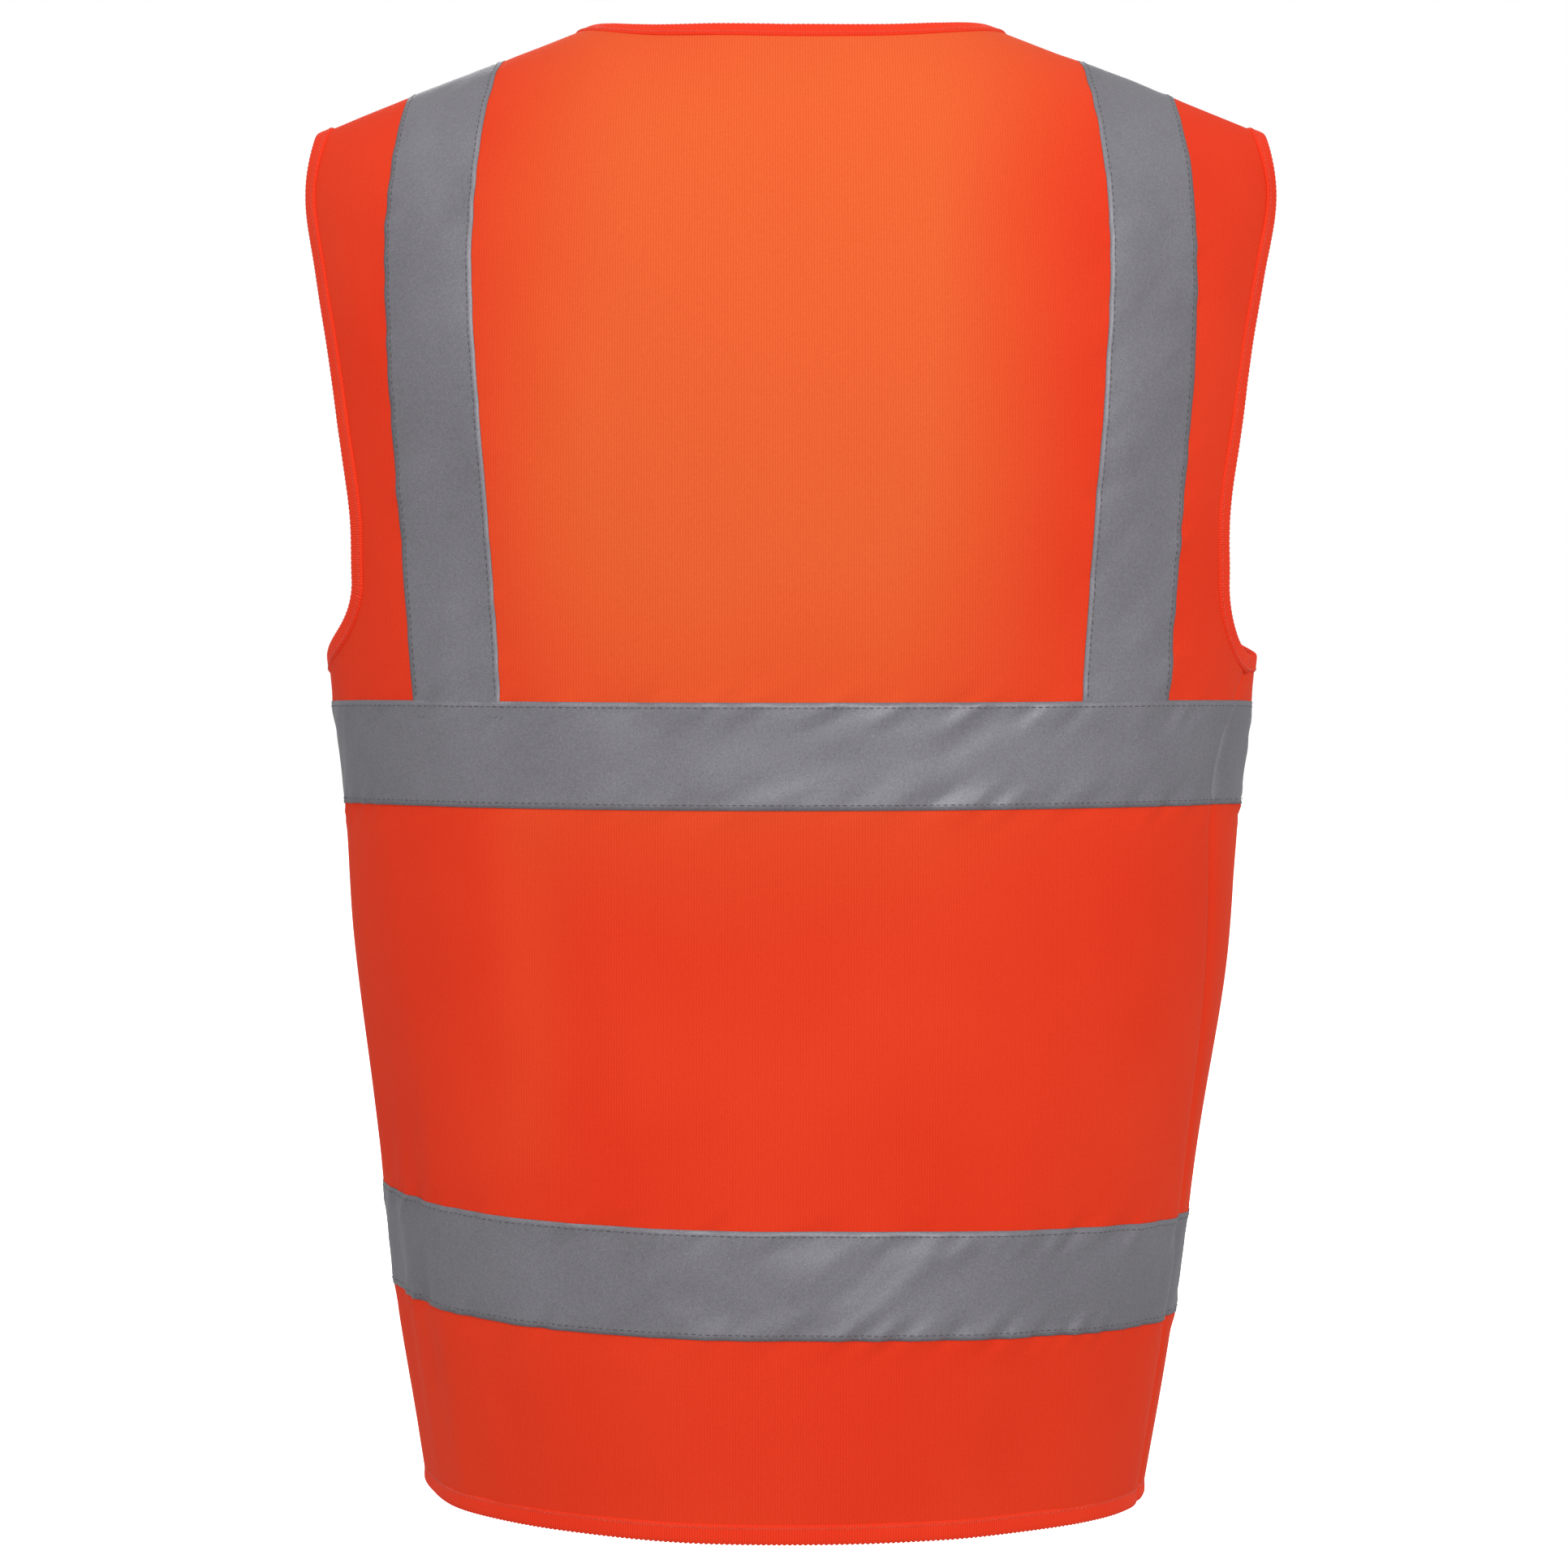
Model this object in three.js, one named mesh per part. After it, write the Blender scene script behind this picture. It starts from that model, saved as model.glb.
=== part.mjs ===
// High visibility vest: a knitted safety waistcoat with retroreflective bands and braces,
// bound edges and a front that closes with hook-and-loop patches. It hangs as it is worn.
//
// Lengths are in millimetres. The origin is midway between the two neck points of the
// shoulder seams, +Z is up, the wearer faces -Y and the wearer's left is +X.

import * as THREE from 'three';

// ---------- driving dimensions ----------

const HEM_LEVEL = -722;
const UNDERARM_LEVEL = -316;
const NECK_HALF_WIDTH = 100.7;
const BACK_NECK_DROP = 12;
const SHOULDER_SLOPE = 0.37;
const SIDE_RISE = 4; // how much higher the underarm level runs at the sides than at the back

const TAPE_WIDTH = 50;
const UPPER_BAND_TOP = -337.5;
const LOWER_BAND_TOP = -580.5;
const BRACE_END_GAP = 6; // the braces stop this far above the upper band

const FRONT_OVERLAP = 22; // each front passes the centre line by this much
const NECK_V_LEVEL = -262;
const FRONT_CORNER_RADIUS = 22;
const FOLD_TOP_LEVEL = -75; // where the fold line of a front meets the neck edge
const FOLD_HEM_X = 98;
const FOLD_TOP_X = 66;
const FLAP_TOP_LEVEL = -88;
const FRONT_EDGE_BINDING_TOP = -78;
const FRONT_LIFT = 3.0; // the left front lies this far out and the right one this far in
const FRONT_LIFT_X = [30, 58]; // between these distances from the centre the lift fades out

const CLOTH_THICKNESS = 1.0;
const TAPE_THICKNESS = 0.6;
const LAYER_GAP = 0.4; // between cloth and what is sewn on it
const PIECE_GAP = 0.5; // between pieces that meet edge to edge
const BINDING_DEPTH = 6;
const PATCH_WIDTH = 20;
const PATCH_HEIGHT = 50;
const PATCH_THICKNESS = 1.2;
const LABEL_GAP = 1.6; // the label hangs free from the neck seam, inside the back panel
const LABEL_THICKNESS = 0.5;
const LABEL_COLUMN = 0.13; // the label's half width as a part of the neck's half width
const LABEL_LEVELS = [-40, -28, -16];

// Horizontal sections are superellipses: half width, back depth and front depth by height.
const SECTION_ROUNDNESS = 2.2;
const HALF_WIDTH = [
  [-722, 181], [-630, 195.7], [-531, 208], [-450, 217.7], [-384, 222.6], [-312, 230.8],
  [-168, 242], [-50, 251.5], [20, 254],
];
const BACK_DEPTH = [[-722, 153], [-580, 150], [-440, 141], [-320, 139], [-160, 142], [20, 142]];
const FRONT_DEPTH = [[-722, 138], [-580, 134], [-440, 131], [-320, 130], [-160, 124], [20, 118]];
const BACK_FALL = 2.7; // superellipse power of the back between underarm and shoulder ridge
const FRONT_FALL = 2.3;

// Angles are measured round the body from the centre back or the centre front, in degrees.
const SEAM_ANGLE = { // side seams by level, from the centre back; the right one is pulled back
  left: [[-722, 90], [-316, 90]],
  right: [[-722, 72], [-580, 73], [-430, 67], [-370, 66], [-345, 69], [-316, 77]],
};
const ARMHOLE_BACK = [
  [0.14, 63.5], [0.25, 62.6], [0.4, 64.5], [0.55, 66.8], [0.71, 70.3], [0.87, 73.5], [1, 68.3],
];
const ARMHOLE_FRONT = [
  [0.14, 63.5], [0.3, 60.5], [0.5, 61.5], [0.7, 65.5], [0.87, 70], [1, 68.3],
];
const ARMHOLE_CORNER_SHARE = 0.14; // part of the armhole height taken by its rounded bottom
const ARMHOLE_CENTRE_X = 240;
const ARMHOLE_CENTRE_HEIGHT = -190;
const BRACE_CENTRE_X = [[-337.5, 159], [-250, 165], [-126, 173.5], [-60, 172], [0, 165]];
const INNER_COLUMN_ANGLE = 22; // a free mesh column between the centre and the brace

const COLOURS = {
  cloth: ['#e8482a', 0.85, 0],
  tape: ['#86868c', 0.45, 0.1],
  binding: ['#e4402a', 0.8, 0],
  label: ['#e8e4dc', 0.8, 0],
  hook: ['#3a3a3c', 0.9, 0],
  loop: ['#48484a', 0.95, 0],
};

// ---------- small helpers ----------

const SIDES = [{ name: 'left', sign: 1 }, { name: 'right', sign: -1 }];
const clamp = THREE.MathUtils.clamp;
const mix = THREE.MathUtils.lerp;
const radians = THREE.MathUtils.degToRad;

function range(from, to, steps) {
  return Array.from({ length: steps + 1 }, (_, i) => mix(from, to, i / steps));
}

// A smooth curve through [place, value] stations, level beyond both ends.
function smoothCurve(stations, place) {
  const last = stations.length - 1;
  const slope = (i) => {
    const a = stations[Math.max(i - 1, 0)];
    const b = stations[Math.min(i + 1, last)];
    return (b[1] - a[1]) / (b[0] - a[0]);
  };
  const at = clamp(place, stations[0][0], stations[last][0]);
  let i = 0;
  while (i < last - 1 && at > stations[i + 1][0]) i += 1;
  const [x0, y0] = stations[i];
  const [x1, y1] = stations[i + 1];
  const span = x1 - x0;
  const t = (at - x0) / span;
  const rise = y1 - y0;
  const a = slope(i) * span - rise;
  const b = rise - slope(i + 1) * span;
  return y0 + t * rise + t * (1 - t) * ((1 - t) * a + t * b);
}

// ---------- the surface that the cloth lies on ----------

// Height of the shoulder ridge above each x. Over the neck opening it carries on as a low arch.
function ridgeHeight(x) {
  const out = Math.abs(x) / NECK_HALF_WIDTH;
  if (out >= 1) return -SHOULDER_SLOPE * NECK_HALF_WIDTH * (out - 1);
  return SHOULDER_SLOPE * NECK_HALF_WIDTH * (1 - out * out) / 2;
}

// Height of the back's top edge above each x: the back neckline, then the shoulder ridge.
function backTopHeight(x) {
  const out = Math.abs(x) / NECK_HALF_WIDTH;
  return out < 1 ? -BACK_NECK_DROP * (1 - out ** 3) : ridgeHeight(x);
}

function sectionX(angle, height) {
  const sine = Math.sin(angle);
  return smoothCurve(HALF_WIDTH, height) * Math.sign(sine) * Math.abs(sine) ** (2 / SECTION_ROUNDNESS);
}

function angleAtX(x, height) {
  const share = clamp(x / smoothCurve(HALF_WIDTH, height), -1, 1);
  return Math.sign(share) * Math.asin(Math.abs(share) ** (SECTION_ROUNDNESS / 2));
}

// A level is the height that a row of cloth would have at the neck point. Rows are horizontal
// below the underarm and spread out above it to follow the shoulder and the neckline.
function armholeShare(level) {
  return clamp((level - UNDERARM_LEVEL) / -UNDERARM_LEVEL, 0, 1);
}

function lowHeight(angle, level) {
  const share = clamp((level - HEM_LEVEL) / (UNDERARM_LEVEL - HEM_LEVEL), 0, 1);
  return Math.min(level, UNDERARM_LEVEL) + SIDE_RISE * share * Math.sin(angle) ** 2;
}

// The height at a share of the way from the underarm level up to a top line.
function raisedHeight(angle, low, share, top) {
  let height = low;
  for (let round = 0; round < 4 && share > 0; round += 1) {
    height = low + share * (top(sectionX(angle, height)) - low);
  }
  return height;
}

// The point of the body surface at an angle and a climb from the underarm (0) to the shoulder
// ridge (1). Past 90 degrees it is on the other half of the body.
function bodyPoint(half, angle, level, climb) {
  const height = raisedHeight(angle, lowHeight(angle, level), climb, ridgeHeight);
  const cosine = Math.cos(angle);
  const onBack = (half === 'back') === (cosine >= 0);
  const depth = smoothCurve(onBack ? BACK_DEPTH : FRONT_DEPTH, height);
  const power = onBack ? BACK_FALL : FRONT_FALL;
  const fall = (1 - climb ** power) ** (1 / power);
  const y = depth * Math.abs(cosine) ** (2 / SECTION_ROUNDNESS) * fall;
  return new THREE.Vector3(sectionX(angle, height), onBack ? y : -y, height);
}

function rowClimb(half, angle, level) {
  const share = armholeShare(level);
  if (half === 'front' || share === 0) return share;
  const low = lowHeight(angle, level);
  const height = raisedHeight(angle, low, share, backTopHeight);
  return (height - low) / (ridgeHeight(sectionX(angle, height)) - low);
}

function rowPoint(half, angle, level) {
  return bodyPoint(half, angle, level, rowClimb(half, angle, level));
}

// The angle reached by walking a distance along a row.
function angleAlongRow(half, angle, level, distance) {
  const step = Math.sign(distance) * radians(0.25);
  let at = angle;
  let left = Math.abs(distance);
  let point = rowPoint(half, at, level);
  for (;;) {
    const next = rowPoint(half, at + step, level);
    const length = next.distanceTo(point);
    if (length >= left) return at + step * left / length;
    left -= length;
    at += step;
    point = next;
  }
}

// ---------- where the cloth's own lines run ----------

function armholeAngle(half, side, level) {
  const share = armholeShare(level);
  const fromBack = smoothCurve(SEAM_ANGLE[side], level);
  const seam = radians(half === 'back' ? fromBack : 180 - fromBack);
  const edge = radians(smoothCurve(half === 'back' ? ARMHOLE_BACK : ARMHOLE_FRONT, share));
  const corner = clamp(1 - share / ARMHOLE_CORNER_SHARE, 0, 1);
  return edge + (seam - edge) * (1 - Math.sqrt(1 - corner ** 2));
}

function frontEdgeX(level) {
  if (level > NECK_V_LEVEL) {
    return mix(-FRONT_OVERLAP, NECK_HALF_WIDTH, (level - NECK_V_LEVEL) / -NECK_V_LEVEL);
  }
  const corner = clamp(1 - (level - HEM_LEVEL) / FRONT_CORNER_RADIUS, 0, 1);
  return -FRONT_OVERLAP + FRONT_CORNER_RADIUS * (1 - Math.sqrt(1 - corner ** 2));
}

function foldX(level) {
  return mix(FOLD_HEM_X, FOLD_TOP_X, (level - HEM_LEVEL) / (FOLD_TOP_LEVEL - HEM_LEVEL));
}

function braceAngle(half, level, distance) {
  const at = Math.max(level, UPPER_BAND_TOP);
  const x = smoothCurve(BRACE_CENTRE_X, at);
  const height = at <= UNDERARM_LEVEL ? at : mix(UNDERARM_LEVEL, ridgeHeight(x), armholeShare(at));
  const centre = angleAtX(x, height);
  return angleAlongRow(half, centre, at, distance);
}

// Angle of the column 0 (centre or front edge), 1 (free column or fold line), 2 and 3 (the two
// edges of the brace) or 4 (side seam and armhole) on a row, or of a place between them.
function columnAngle(half, side, column, level) {
  const share = armholeShare(level) ** 2;
  const keys = [
    () => (half === 'back' ? 0 : angleAtX(frontEdgeX(level), level)),
    () => (half === 'back'
      ? mix(radians(INNER_COLUMN_ANGLE), angleAtX(NECK_HALF_WIDTH, 0), share)
      : angleAtX(Math.max(foldX(level), frontEdgeX(level)), level)),
    () => braceAngle(half, level, -TAPE_WIDTH / 2),
    () => braceAngle(half, level, TAPE_WIDTH / 2),
    () => armholeAngle(half, side, level),
  ];
  const zone = Math.min(Math.floor(column), 3);
  const part = column - zone;
  const angle = mix(keys[zone](), part > 0 ? keys[zone + 1]() : 0, part);
  if (half === 'front' || zone > 0) return angle;
  const neckAngle = angleAtX(NECK_HALF_WIDTH * Math.sin(radians(90 * part)), 0);
  return mix(angle, neckAngle, share);
}

// ---------- points on and off the cloth ----------

function frontLift(half, side, x) {
  if (half === 'back') return 0;
  return FRONT_LIFT * (side === 'left' ? 1 : -1) * (1 - THREE.MathUtils.smoothstep(x, ...FRONT_LIFT_X));
}

function outwardNormal(half, angle, level) {
  const e = 1e-4;
  const climb = rowClimb(half, angle, level);
  const across = bodyPoint(half, angle + e, level, climb).sub(bodyPoint(half, angle - e, level, climb));
  const below = climb > 0 ? bodyPoint(half, angle, level, climb - e) : bodyPoint(half, angle, level - e, 0);
  const up = bodyPoint(half, angle, level, climb).sub(below);
  const normal = half === 'back' ? up.cross(across) : across.cross(up);
  return normal.normalize();
}

// A spot is {half, side, column, level}. The result is its point and outward normal.
function clothFrame({ half, side, column, level }) {
  const angle = columnAngle(half, side, column, level);
  const point = rowPoint(half, angle, level);
  const normal = outwardNormal(half, angle, level);
  point.addScaledVector(normal, frontLift(half, side, point.x));
  if (side === 'right') {
    point.x *= -1;
    normal.x *= -1;
  }
  return { point, normal };
}

function clothPoint(spot, offset) {
  const { point, normal } = clothFrame(spot);
  return point.addScaledVector(normal, offset);
}

// ---------- closed bodies ----------

function closedGeometry(points, triangles) {
  let volume = 0;
  for (const [a, b, c] of triangles) volume += points[a].dot(points[b].clone().cross(points[c]));
  const index = triangles.flatMap(([a, b, c]) => (volume > 0 ? [a, b, c] : [a, c, b]));
  const geometry = new THREE.BufferGeometry();
  geometry.setAttribute('position', new THREE.Float32BufferAttribute(points.flatMap((p) => p.toArray()), 3));
  geometry.setIndex(index);
  geometry.computeVertexNormals();
  return geometry;
}

// A thin closed plate between two offsets of a grid of spots. grid[row][column] is a spot.
function plate(grid, inner, outer) {
  const rows = grid.length;
  const columns = grid[0].length;
  const points = [outer, inner].flatMap((offset) => grid.flat().map((spot) => clothPoint(spot, offset)));
  const at = (layer, row, column) => (layer * rows + row) * columns + column;
  const triangles = [];
  const quad = (a, b, c, d) => triangles.push([a, b, c], [a, c, d]);
  for (let row = 0; row < rows - 1; row += 1) {
    for (let column = 0; column < columns - 1; column += 1) {
      quad(at(0, row, column), at(0, row, column + 1), at(0, row + 1, column + 1), at(0, row + 1, column));
      quad(at(1, row, column), at(1, row + 1, column), at(1, row + 1, column + 1), at(1, row, column + 1));
    }
    const end = columns - 1;
    quad(at(0, row, 0), at(0, row + 1, 0), at(1, row + 1, 0), at(1, row, 0));
    quad(at(0, row, end), at(1, row, end), at(1, row + 1, end), at(0, row + 1, end));
  }
  for (let column = 0; column < columns - 1; column += 1) {
    const top = rows - 1;
    quad(at(0, 0, column), at(1, 0, column), at(1, 0, column + 1), at(0, 0, column + 1));
    quad(at(0, top, column), at(0, top, column + 1), at(1, top, column + 1), at(1, top, column));
  }
  return closedGeometry(points, triangles);
}

// The folded binding's section: [depth into the cloth, height off its middle].
const BINDING_SECTION = [
  [BINDING_DEPTH, 2.4], [-0.9, 2.4], [-1.9, 0], [-0.9, -2.4], [BINDING_DEPTH, -2.4],
  [BINDING_DEPTH, -1.7], [-0.7, -1.7], [-0.7, 1.7], [BINDING_DEPTH, 1.7],
];

// A binding folded round the cloth edge along a path of spots. The cloth lies on the side of
// the edge that faces away from the hole point.
function binding(path, hole, closed = false) {
  const frames = path.map(clothFrame);
  const count = frames.length;
  const points = frames.flatMap(({ point, normal }, i) => {
    const before = frames[closed ? (i + count - 1) % count : Math.max(i - 1, 0)].point;
    const after = frames[closed ? (i + 1) % count : Math.min(i + 1, count - 1)].point;
    const inward = after.clone().sub(before).cross(normal).normalize();
    if (inward.dot(point.clone().sub(hole)) < 0) inward.negate();
    return BINDING_SECTION.map(([depth, height]) => point.clone()
      .addScaledVector(inward, depth).addScaledVector(normal, height));
  });
  const size = BINDING_SECTION.length;
  const triangles = [];
  for (let i = 0; i < (closed ? count : count - 1); i += 1) {
    const j = (i + 1) % count;
    for (let k = 0; k < size; k += 1) {
      const l = (k + 1) % size;
      triangles.push([i * size + k, i * size + l, j * size + l], [i * size + k, j * size + l, j * size + k]);
    }
  }
  if (!closed) {
    const outline = BINDING_SECTION.map(([x, y]) => new THREE.Vector2(x, y));
    const cap = THREE.ShapeUtils.triangulateShape(outline, []);
    const end = (count - 1) * size;
    for (const [a, b, c] of cap) triangles.push([c, b, a], [end + a, end + b, end + c]);
  }
  return closedGeometry(points, triangles);
}

// ---------- mesh rows and columns ----------

const LOW_LEVELS = [
  HEM_LEVEL, -721, -717, -710, -700, -665, LOWER_BAND_TOP - TAPE_WIDTH, LOWER_BAND_TOP - TAPE_WIDTH / 2,
  LOWER_BAND_TOP, -530, -480, -432, UPPER_BAND_TOP - TAPE_WIDTH, UPPER_BAND_TOP - TAPE_WIDTH / 2,
  UPPER_BAND_TOP, UNDERARM_LEVEL,
];
const shareToLevel = (share) => UNDERARM_LEVEL * (1 - share);
const HIGH_LEVELS = [
  0.01, 0.03, 0.06, 0.1, 0.14, 0.23, 0.34, 0.45, 0.56, 0.66, 0.763, 0.84, 0.9, 0.945, 0.975, 0.993, 1,
].map(shareToLevel);
const ALL_LEVELS = [...LOW_LEVELS, ...HIGH_LEVELS];
const BRACE_LEVELS = ALL_LEVELS.filter((level) => level > UPPER_BAND_TOP);
const NECK_COLUMNS = [0, 0.2, 0.4, 0.56, 0.7, 0.82, 0.91, 1];
const HALF_COLUMNS = [...NECK_COLUMNS, 1.5, 2, 2.5, 3, 3.33, 3.67, 4];
const SIDE_COLUMNS = [1, 1.35, 1.7, 2, 2.5, 3, 3.33, 3.67, 4];
const FLAP_COLUMNS = range(0, 1, 5);
const NECK_EDGE_LEVELS = [-73, -60, -46, -32, -20, -11, -5, -1.6, -0.3]; // up to the neck point
const FOLD_COLUMN = 1;
const SEAM_COLUMN = 4;
// The columns beside the front edge, the fold line and the side seam.
const BESIDE = {
  edge: FLAP_COLUMNS[1],
  flapFold: FLAP_COLUMNS.at(-2),
  sideFold: SIDE_COLUMNS[1],
  seam: SIDE_COLUMNS.at(-2),
};
const mirrored = (columns) => [...columns.slice(1).reverse().map((column) => -column), ...columns];
const BACK_COLUMNS = mirrored(HALF_COLUMNS);

function backSpot(column, level) {
  return { half: 'back', side: column < 0 ? 'right' : 'left', column: Math.abs(column), level };
}

function frontSpot(side, column, level) {
  return { half: 'front', side, column, level };
}

// Spots are moved in from a line of the cloth by a distance along the row, so neighbours clear.
const MOST_INSET = 0.4; // of the way to the next column
function insetColumn(spot, toColumn, distance) {
  const near = clothPoint(spot, 0);
  const far = clothPoint({ ...spot, column: toColumn }, 0);
  return mix(spot.column, toColumn, Math.min(distance / near.distanceTo(far), MOST_INSET));
}

function bandLevels(top) {
  return [top - TAPE_WIDTH, top - TAPE_WIDTH / 2, top];
}

// The level of the row that runs this far from the shoulder ridge, for pieces that end there.
function levelNearRidge(half, distance) {
  const [stations, power] = half === 'back' ? [BACK_DEPTH, BACK_FALL] : [FRONT_DEPTH, FRONT_FALL];
  const fall = distance / smoothCurve(stations, 0);
  return shareToLevel((1 - fall ** power) ** (1 / power));
}

// ---------- cloth panels ----------

function backPanel() {
  const grid = ALL_LEVELS.map((level) => BACK_COLUMNS.map((column) => backSpot(column, level)));
  return plate(grid, -CLOTH_THICKNESS / 2, CLOTH_THICKNESS / 2);
}

// The fixed part of a front runs from its fold line to the side seam. Its edges on the side
// seam and the shoulder ridge stay a piece gap away from the back panel.
function frontSidePanel(side) {
  const highest = levelNearRidge('front', 1.5 * PIECE_GAP);
  const levels = ALL_LEVELS.map((level) => Math.min(level, highest));
  const grid = levels.map((level) => SIDE_COLUMNS.map((column) => {
    const spot = frontSpot(side, column, level);
    const onSeam = column === SEAM_COLUMN && level <= UNDERARM_LEVEL;
    if (onSeam) spot.column = insetColumn(spot, BESIDE.seam, PIECE_GAP);
    if (column === FOLD_COLUMN && level < FOLD_TOP_LEVEL) {
      spot.column = insetColumn(spot, BESIDE.sideFold, PIECE_GAP / 2);
    }
    return spot;
  }));
  return plate(grid, -CLOTH_THICKNESS / 2, CLOTH_THICKNESS / 2);
}

const LEAST_ROW_HEIGHT = 5;
function frontFlapPanel(side) {
  const lower = ALL_LEVELS.filter((level) => level < FLAP_TOP_LEVEL - LEAST_ROW_HEIGHT);
  const levels = [...lower, FLAP_TOP_LEVEL];
  const grid = levels.map((level) => FLAP_COLUMNS.map((column) => {
    const spot = frontSpot(side, column, level);
    if (column === FOLD_COLUMN) spot.column = insetColumn(spot, BESIDE.flapFold, PIECE_GAP / 2);
    return spot;
  }));
  return plate(grid, -CLOTH_THICKNESS / 2, CLOTH_THICKNESS / 2);
}

// ---------- reflective tapes ----------

const TAPE_INNER = CLOTH_THICKNESS / 2 + LAYER_GAP;
const TAPE_OUTER = TAPE_INNER + TAPE_THICKNESS;

function backBand(top) {
  const grid = bandLevels(top).map((level) => BACK_COLUMNS.map((column) => {
    const spot = backSpot(column, level);
    if (Math.abs(column) === SEAM_COLUMN) spot.column = insetColumn(spot, BESIDE.seam, PIECE_GAP);
    return spot;
  }));
  return plate(grid, TAPE_INNER, TAPE_OUTER);
}

function frontSideBand(side, top) {
  const grid = bandLevels(top).map((level) => SIDE_COLUMNS.map((column) => {
    const spot = frontSpot(side, column, level);
    if (column === SEAM_COLUMN) spot.column = insetColumn(spot, BESIDE.seam, PIECE_GAP);
    if (column === FOLD_COLUMN) spot.column = insetColumn(spot, BESIDE.sideFold, PIECE_GAP);
    return spot;
  }));
  return plate(grid, TAPE_INNER, TAPE_OUTER);
}

function frontFlapBand(side, top) {
  const grid = bandLevels(top).map((level) => FLAP_COLUMNS.map((column) => {
    const spot = frontSpot(side, column, level);
    if (column === FOLD_COLUMN) spot.column = insetColumn(spot, BESIDE.flapFold, PIECE_GAP);
    if (column === 0) spot.column = insetColumn(spot, BESIDE.edge, BINDING_DEPTH + 3 * PIECE_GAP);
    return spot;
  }));
  return plate(grid, TAPE_INNER, TAPE_OUTER);
}

function brace(half, side) {
  const start = UPPER_BAND_TOP + BRACE_END_GAP;
  const highest = levelNearRidge(half, 2 * PIECE_GAP);
  const levels = [start, ...BRACE_LEVELS].map((level) => Math.min(level, highest));
  const grid = levels.map((level) => [2, 2.5, 3].map((column) => ({ half, side, column, level })));
  return plate(grid, TAPE_INNER, TAPE_OUTER);
}

// ---------- bindings ----------

// Points outside the cloth that tell a binding which way its edge faces.
const NECK_CENTRE = new THREE.Vector3(0, -30, 20);
const BELOW_HEM = new THREE.Vector3(0, 0, 5 * HEM_LEVEL);
const beyondFront = (sign) => new THREE.Vector3(-1000 * sign, 0, 2 * HEM_LEVEL);

function neckBinding() {
  const leftEdge = NECK_EDGE_LEVELS.map((level) => frontSpot('left', FOLD_COLUMN, level));
  const backPath = mirrored(NECK_COLUMNS).reverse().map((column) => backSpot(column, 0));
  const rightEdge = leftEdge.map((spot) => ({ ...spot, side: 'right' })).reverse();
  return binding([...leftEdge, ...backPath, ...rightEdge], NECK_CENTRE);
}

function armholeBinding({ name, sign }) {
  const at = (level) => ({ half: 'back', side: name, column: SEAM_COLUMN, level });
  const backPath = HIGH_LEVELS.slice(0, -1).map(at);
  const frontPath = backPath.map((spot) => ({ ...spot, half: 'front' })).reverse();
  const hole = new THREE.Vector3(sign * ARMHOLE_CENTRE_X, 0, ARMHOLE_CENTRE_HEIGHT);
  return binding([at(UNDERARM_LEVEL), ...backPath, at(0), ...frontPath], hole, true);
}

function hemBinding() {
  const sidePath = SIDE_COLUMNS.map((column) => frontSpot('left', column, HEM_LEVEL));
  sidePath[0].column = insetColumn(sidePath[0], BESIDE.sideFold, PIECE_GAP / 2);
  const frontRight = sidePath.map((spot) => ({ ...spot, side: 'right' })).reverse();
  const backPath = BACK_COLUMNS.slice(1, -1).reverse().map((column) => backSpot(column, HEM_LEVEL));
  return binding([...sidePath, ...backPath, ...frontRight], BELOW_HEM);
}

// The binding of a flap follows its neck edge, front edge, rounded corner and hem.
function frontEdgeBinding({ name, sign }) {
  const levels = ALL_LEVELS.filter((level) => level < FLAP_TOP_LEVEL).reverse();
  const edge = [FRONT_EDGE_BINDING_TOP, ...levels].map((level) => frontSpot(name, 0, level));
  const hem = FLAP_COLUMNS.slice(1).map((column) => frontSpot(name, column, HEM_LEVEL));
  const last = hem.at(-1);
  last.column = insetColumn(last, BESIDE.flapFold, PIECE_GAP / 2);
  return binding([...edge, ...hem], beyondFront(sign));
}

// ---------- closure patches and label ----------

const PATCH_LEVELS = { top: -300, middle: -484, bottom: -672 };

// The column of a front at a distance past the centre line, towards the front's own side.
function columnFromCentre(side, level, distance) {
  const start = columnAngle('front', side, 0, level);
  const end = columnAngle('front', side, 1, level);
  return (angleAtX(distance, level) - start) / (end - start);
}

// A patch is centred on the line where both fronts overlap, inside one and outside the other.
function closurePatch(side, level, facing) {
  const near = (CLOTH_THICKNESS / 2 + LAYER_GAP) * facing;
  const far = near + PATCH_THICKNESS * facing;
  const grid = [level - PATCH_HEIGHT / 2, level, level + PATCH_HEIGHT / 2].map((row) => (
    [-PATCH_WIDTH / 2, 0, PATCH_WIDTH / 2].map((x) => frontSpot(side, columnFromCentre(side, row, x), row))
  ));
  return plate(grid, Math.min(near, far), Math.max(near, far));
}

function neckLabel() {
  const outer = -CLOTH_THICKNESS / 2 - LABEL_GAP;
  const columns = [-LABEL_COLUMN, -LABEL_COLUMN / 2, 0, LABEL_COLUMN / 2, LABEL_COLUMN];
  const grid = LABEL_LEVELS.map((level) => columns.map((column) => backSpot(column, level)));
  return plate(grid, outer - LABEL_THICKNESS, outer);
}

// ---------- the vest ----------

const vest = new THREE.Group();

function add(name, geometry, look) {
  const [color, roughness, metalness] = COLOURS[look];
  const mesh = new THREE.Mesh(geometry, new THREE.MeshStandardMaterial({ color, roughness, metalness }));
  mesh.name = name;
  vest.add(mesh);
}

add('back_panel', backPanel(), 'cloth');
add('back_band_upper', backBand(UPPER_BAND_TOP), 'tape');
add('back_band_lower', backBand(LOWER_BAND_TOP), 'tape');
add('neck_binding', neckBinding(), 'binding');
add('hem_binding', hemBinding(), 'binding');
add('neck_label', neckLabel(), 'label');

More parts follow.
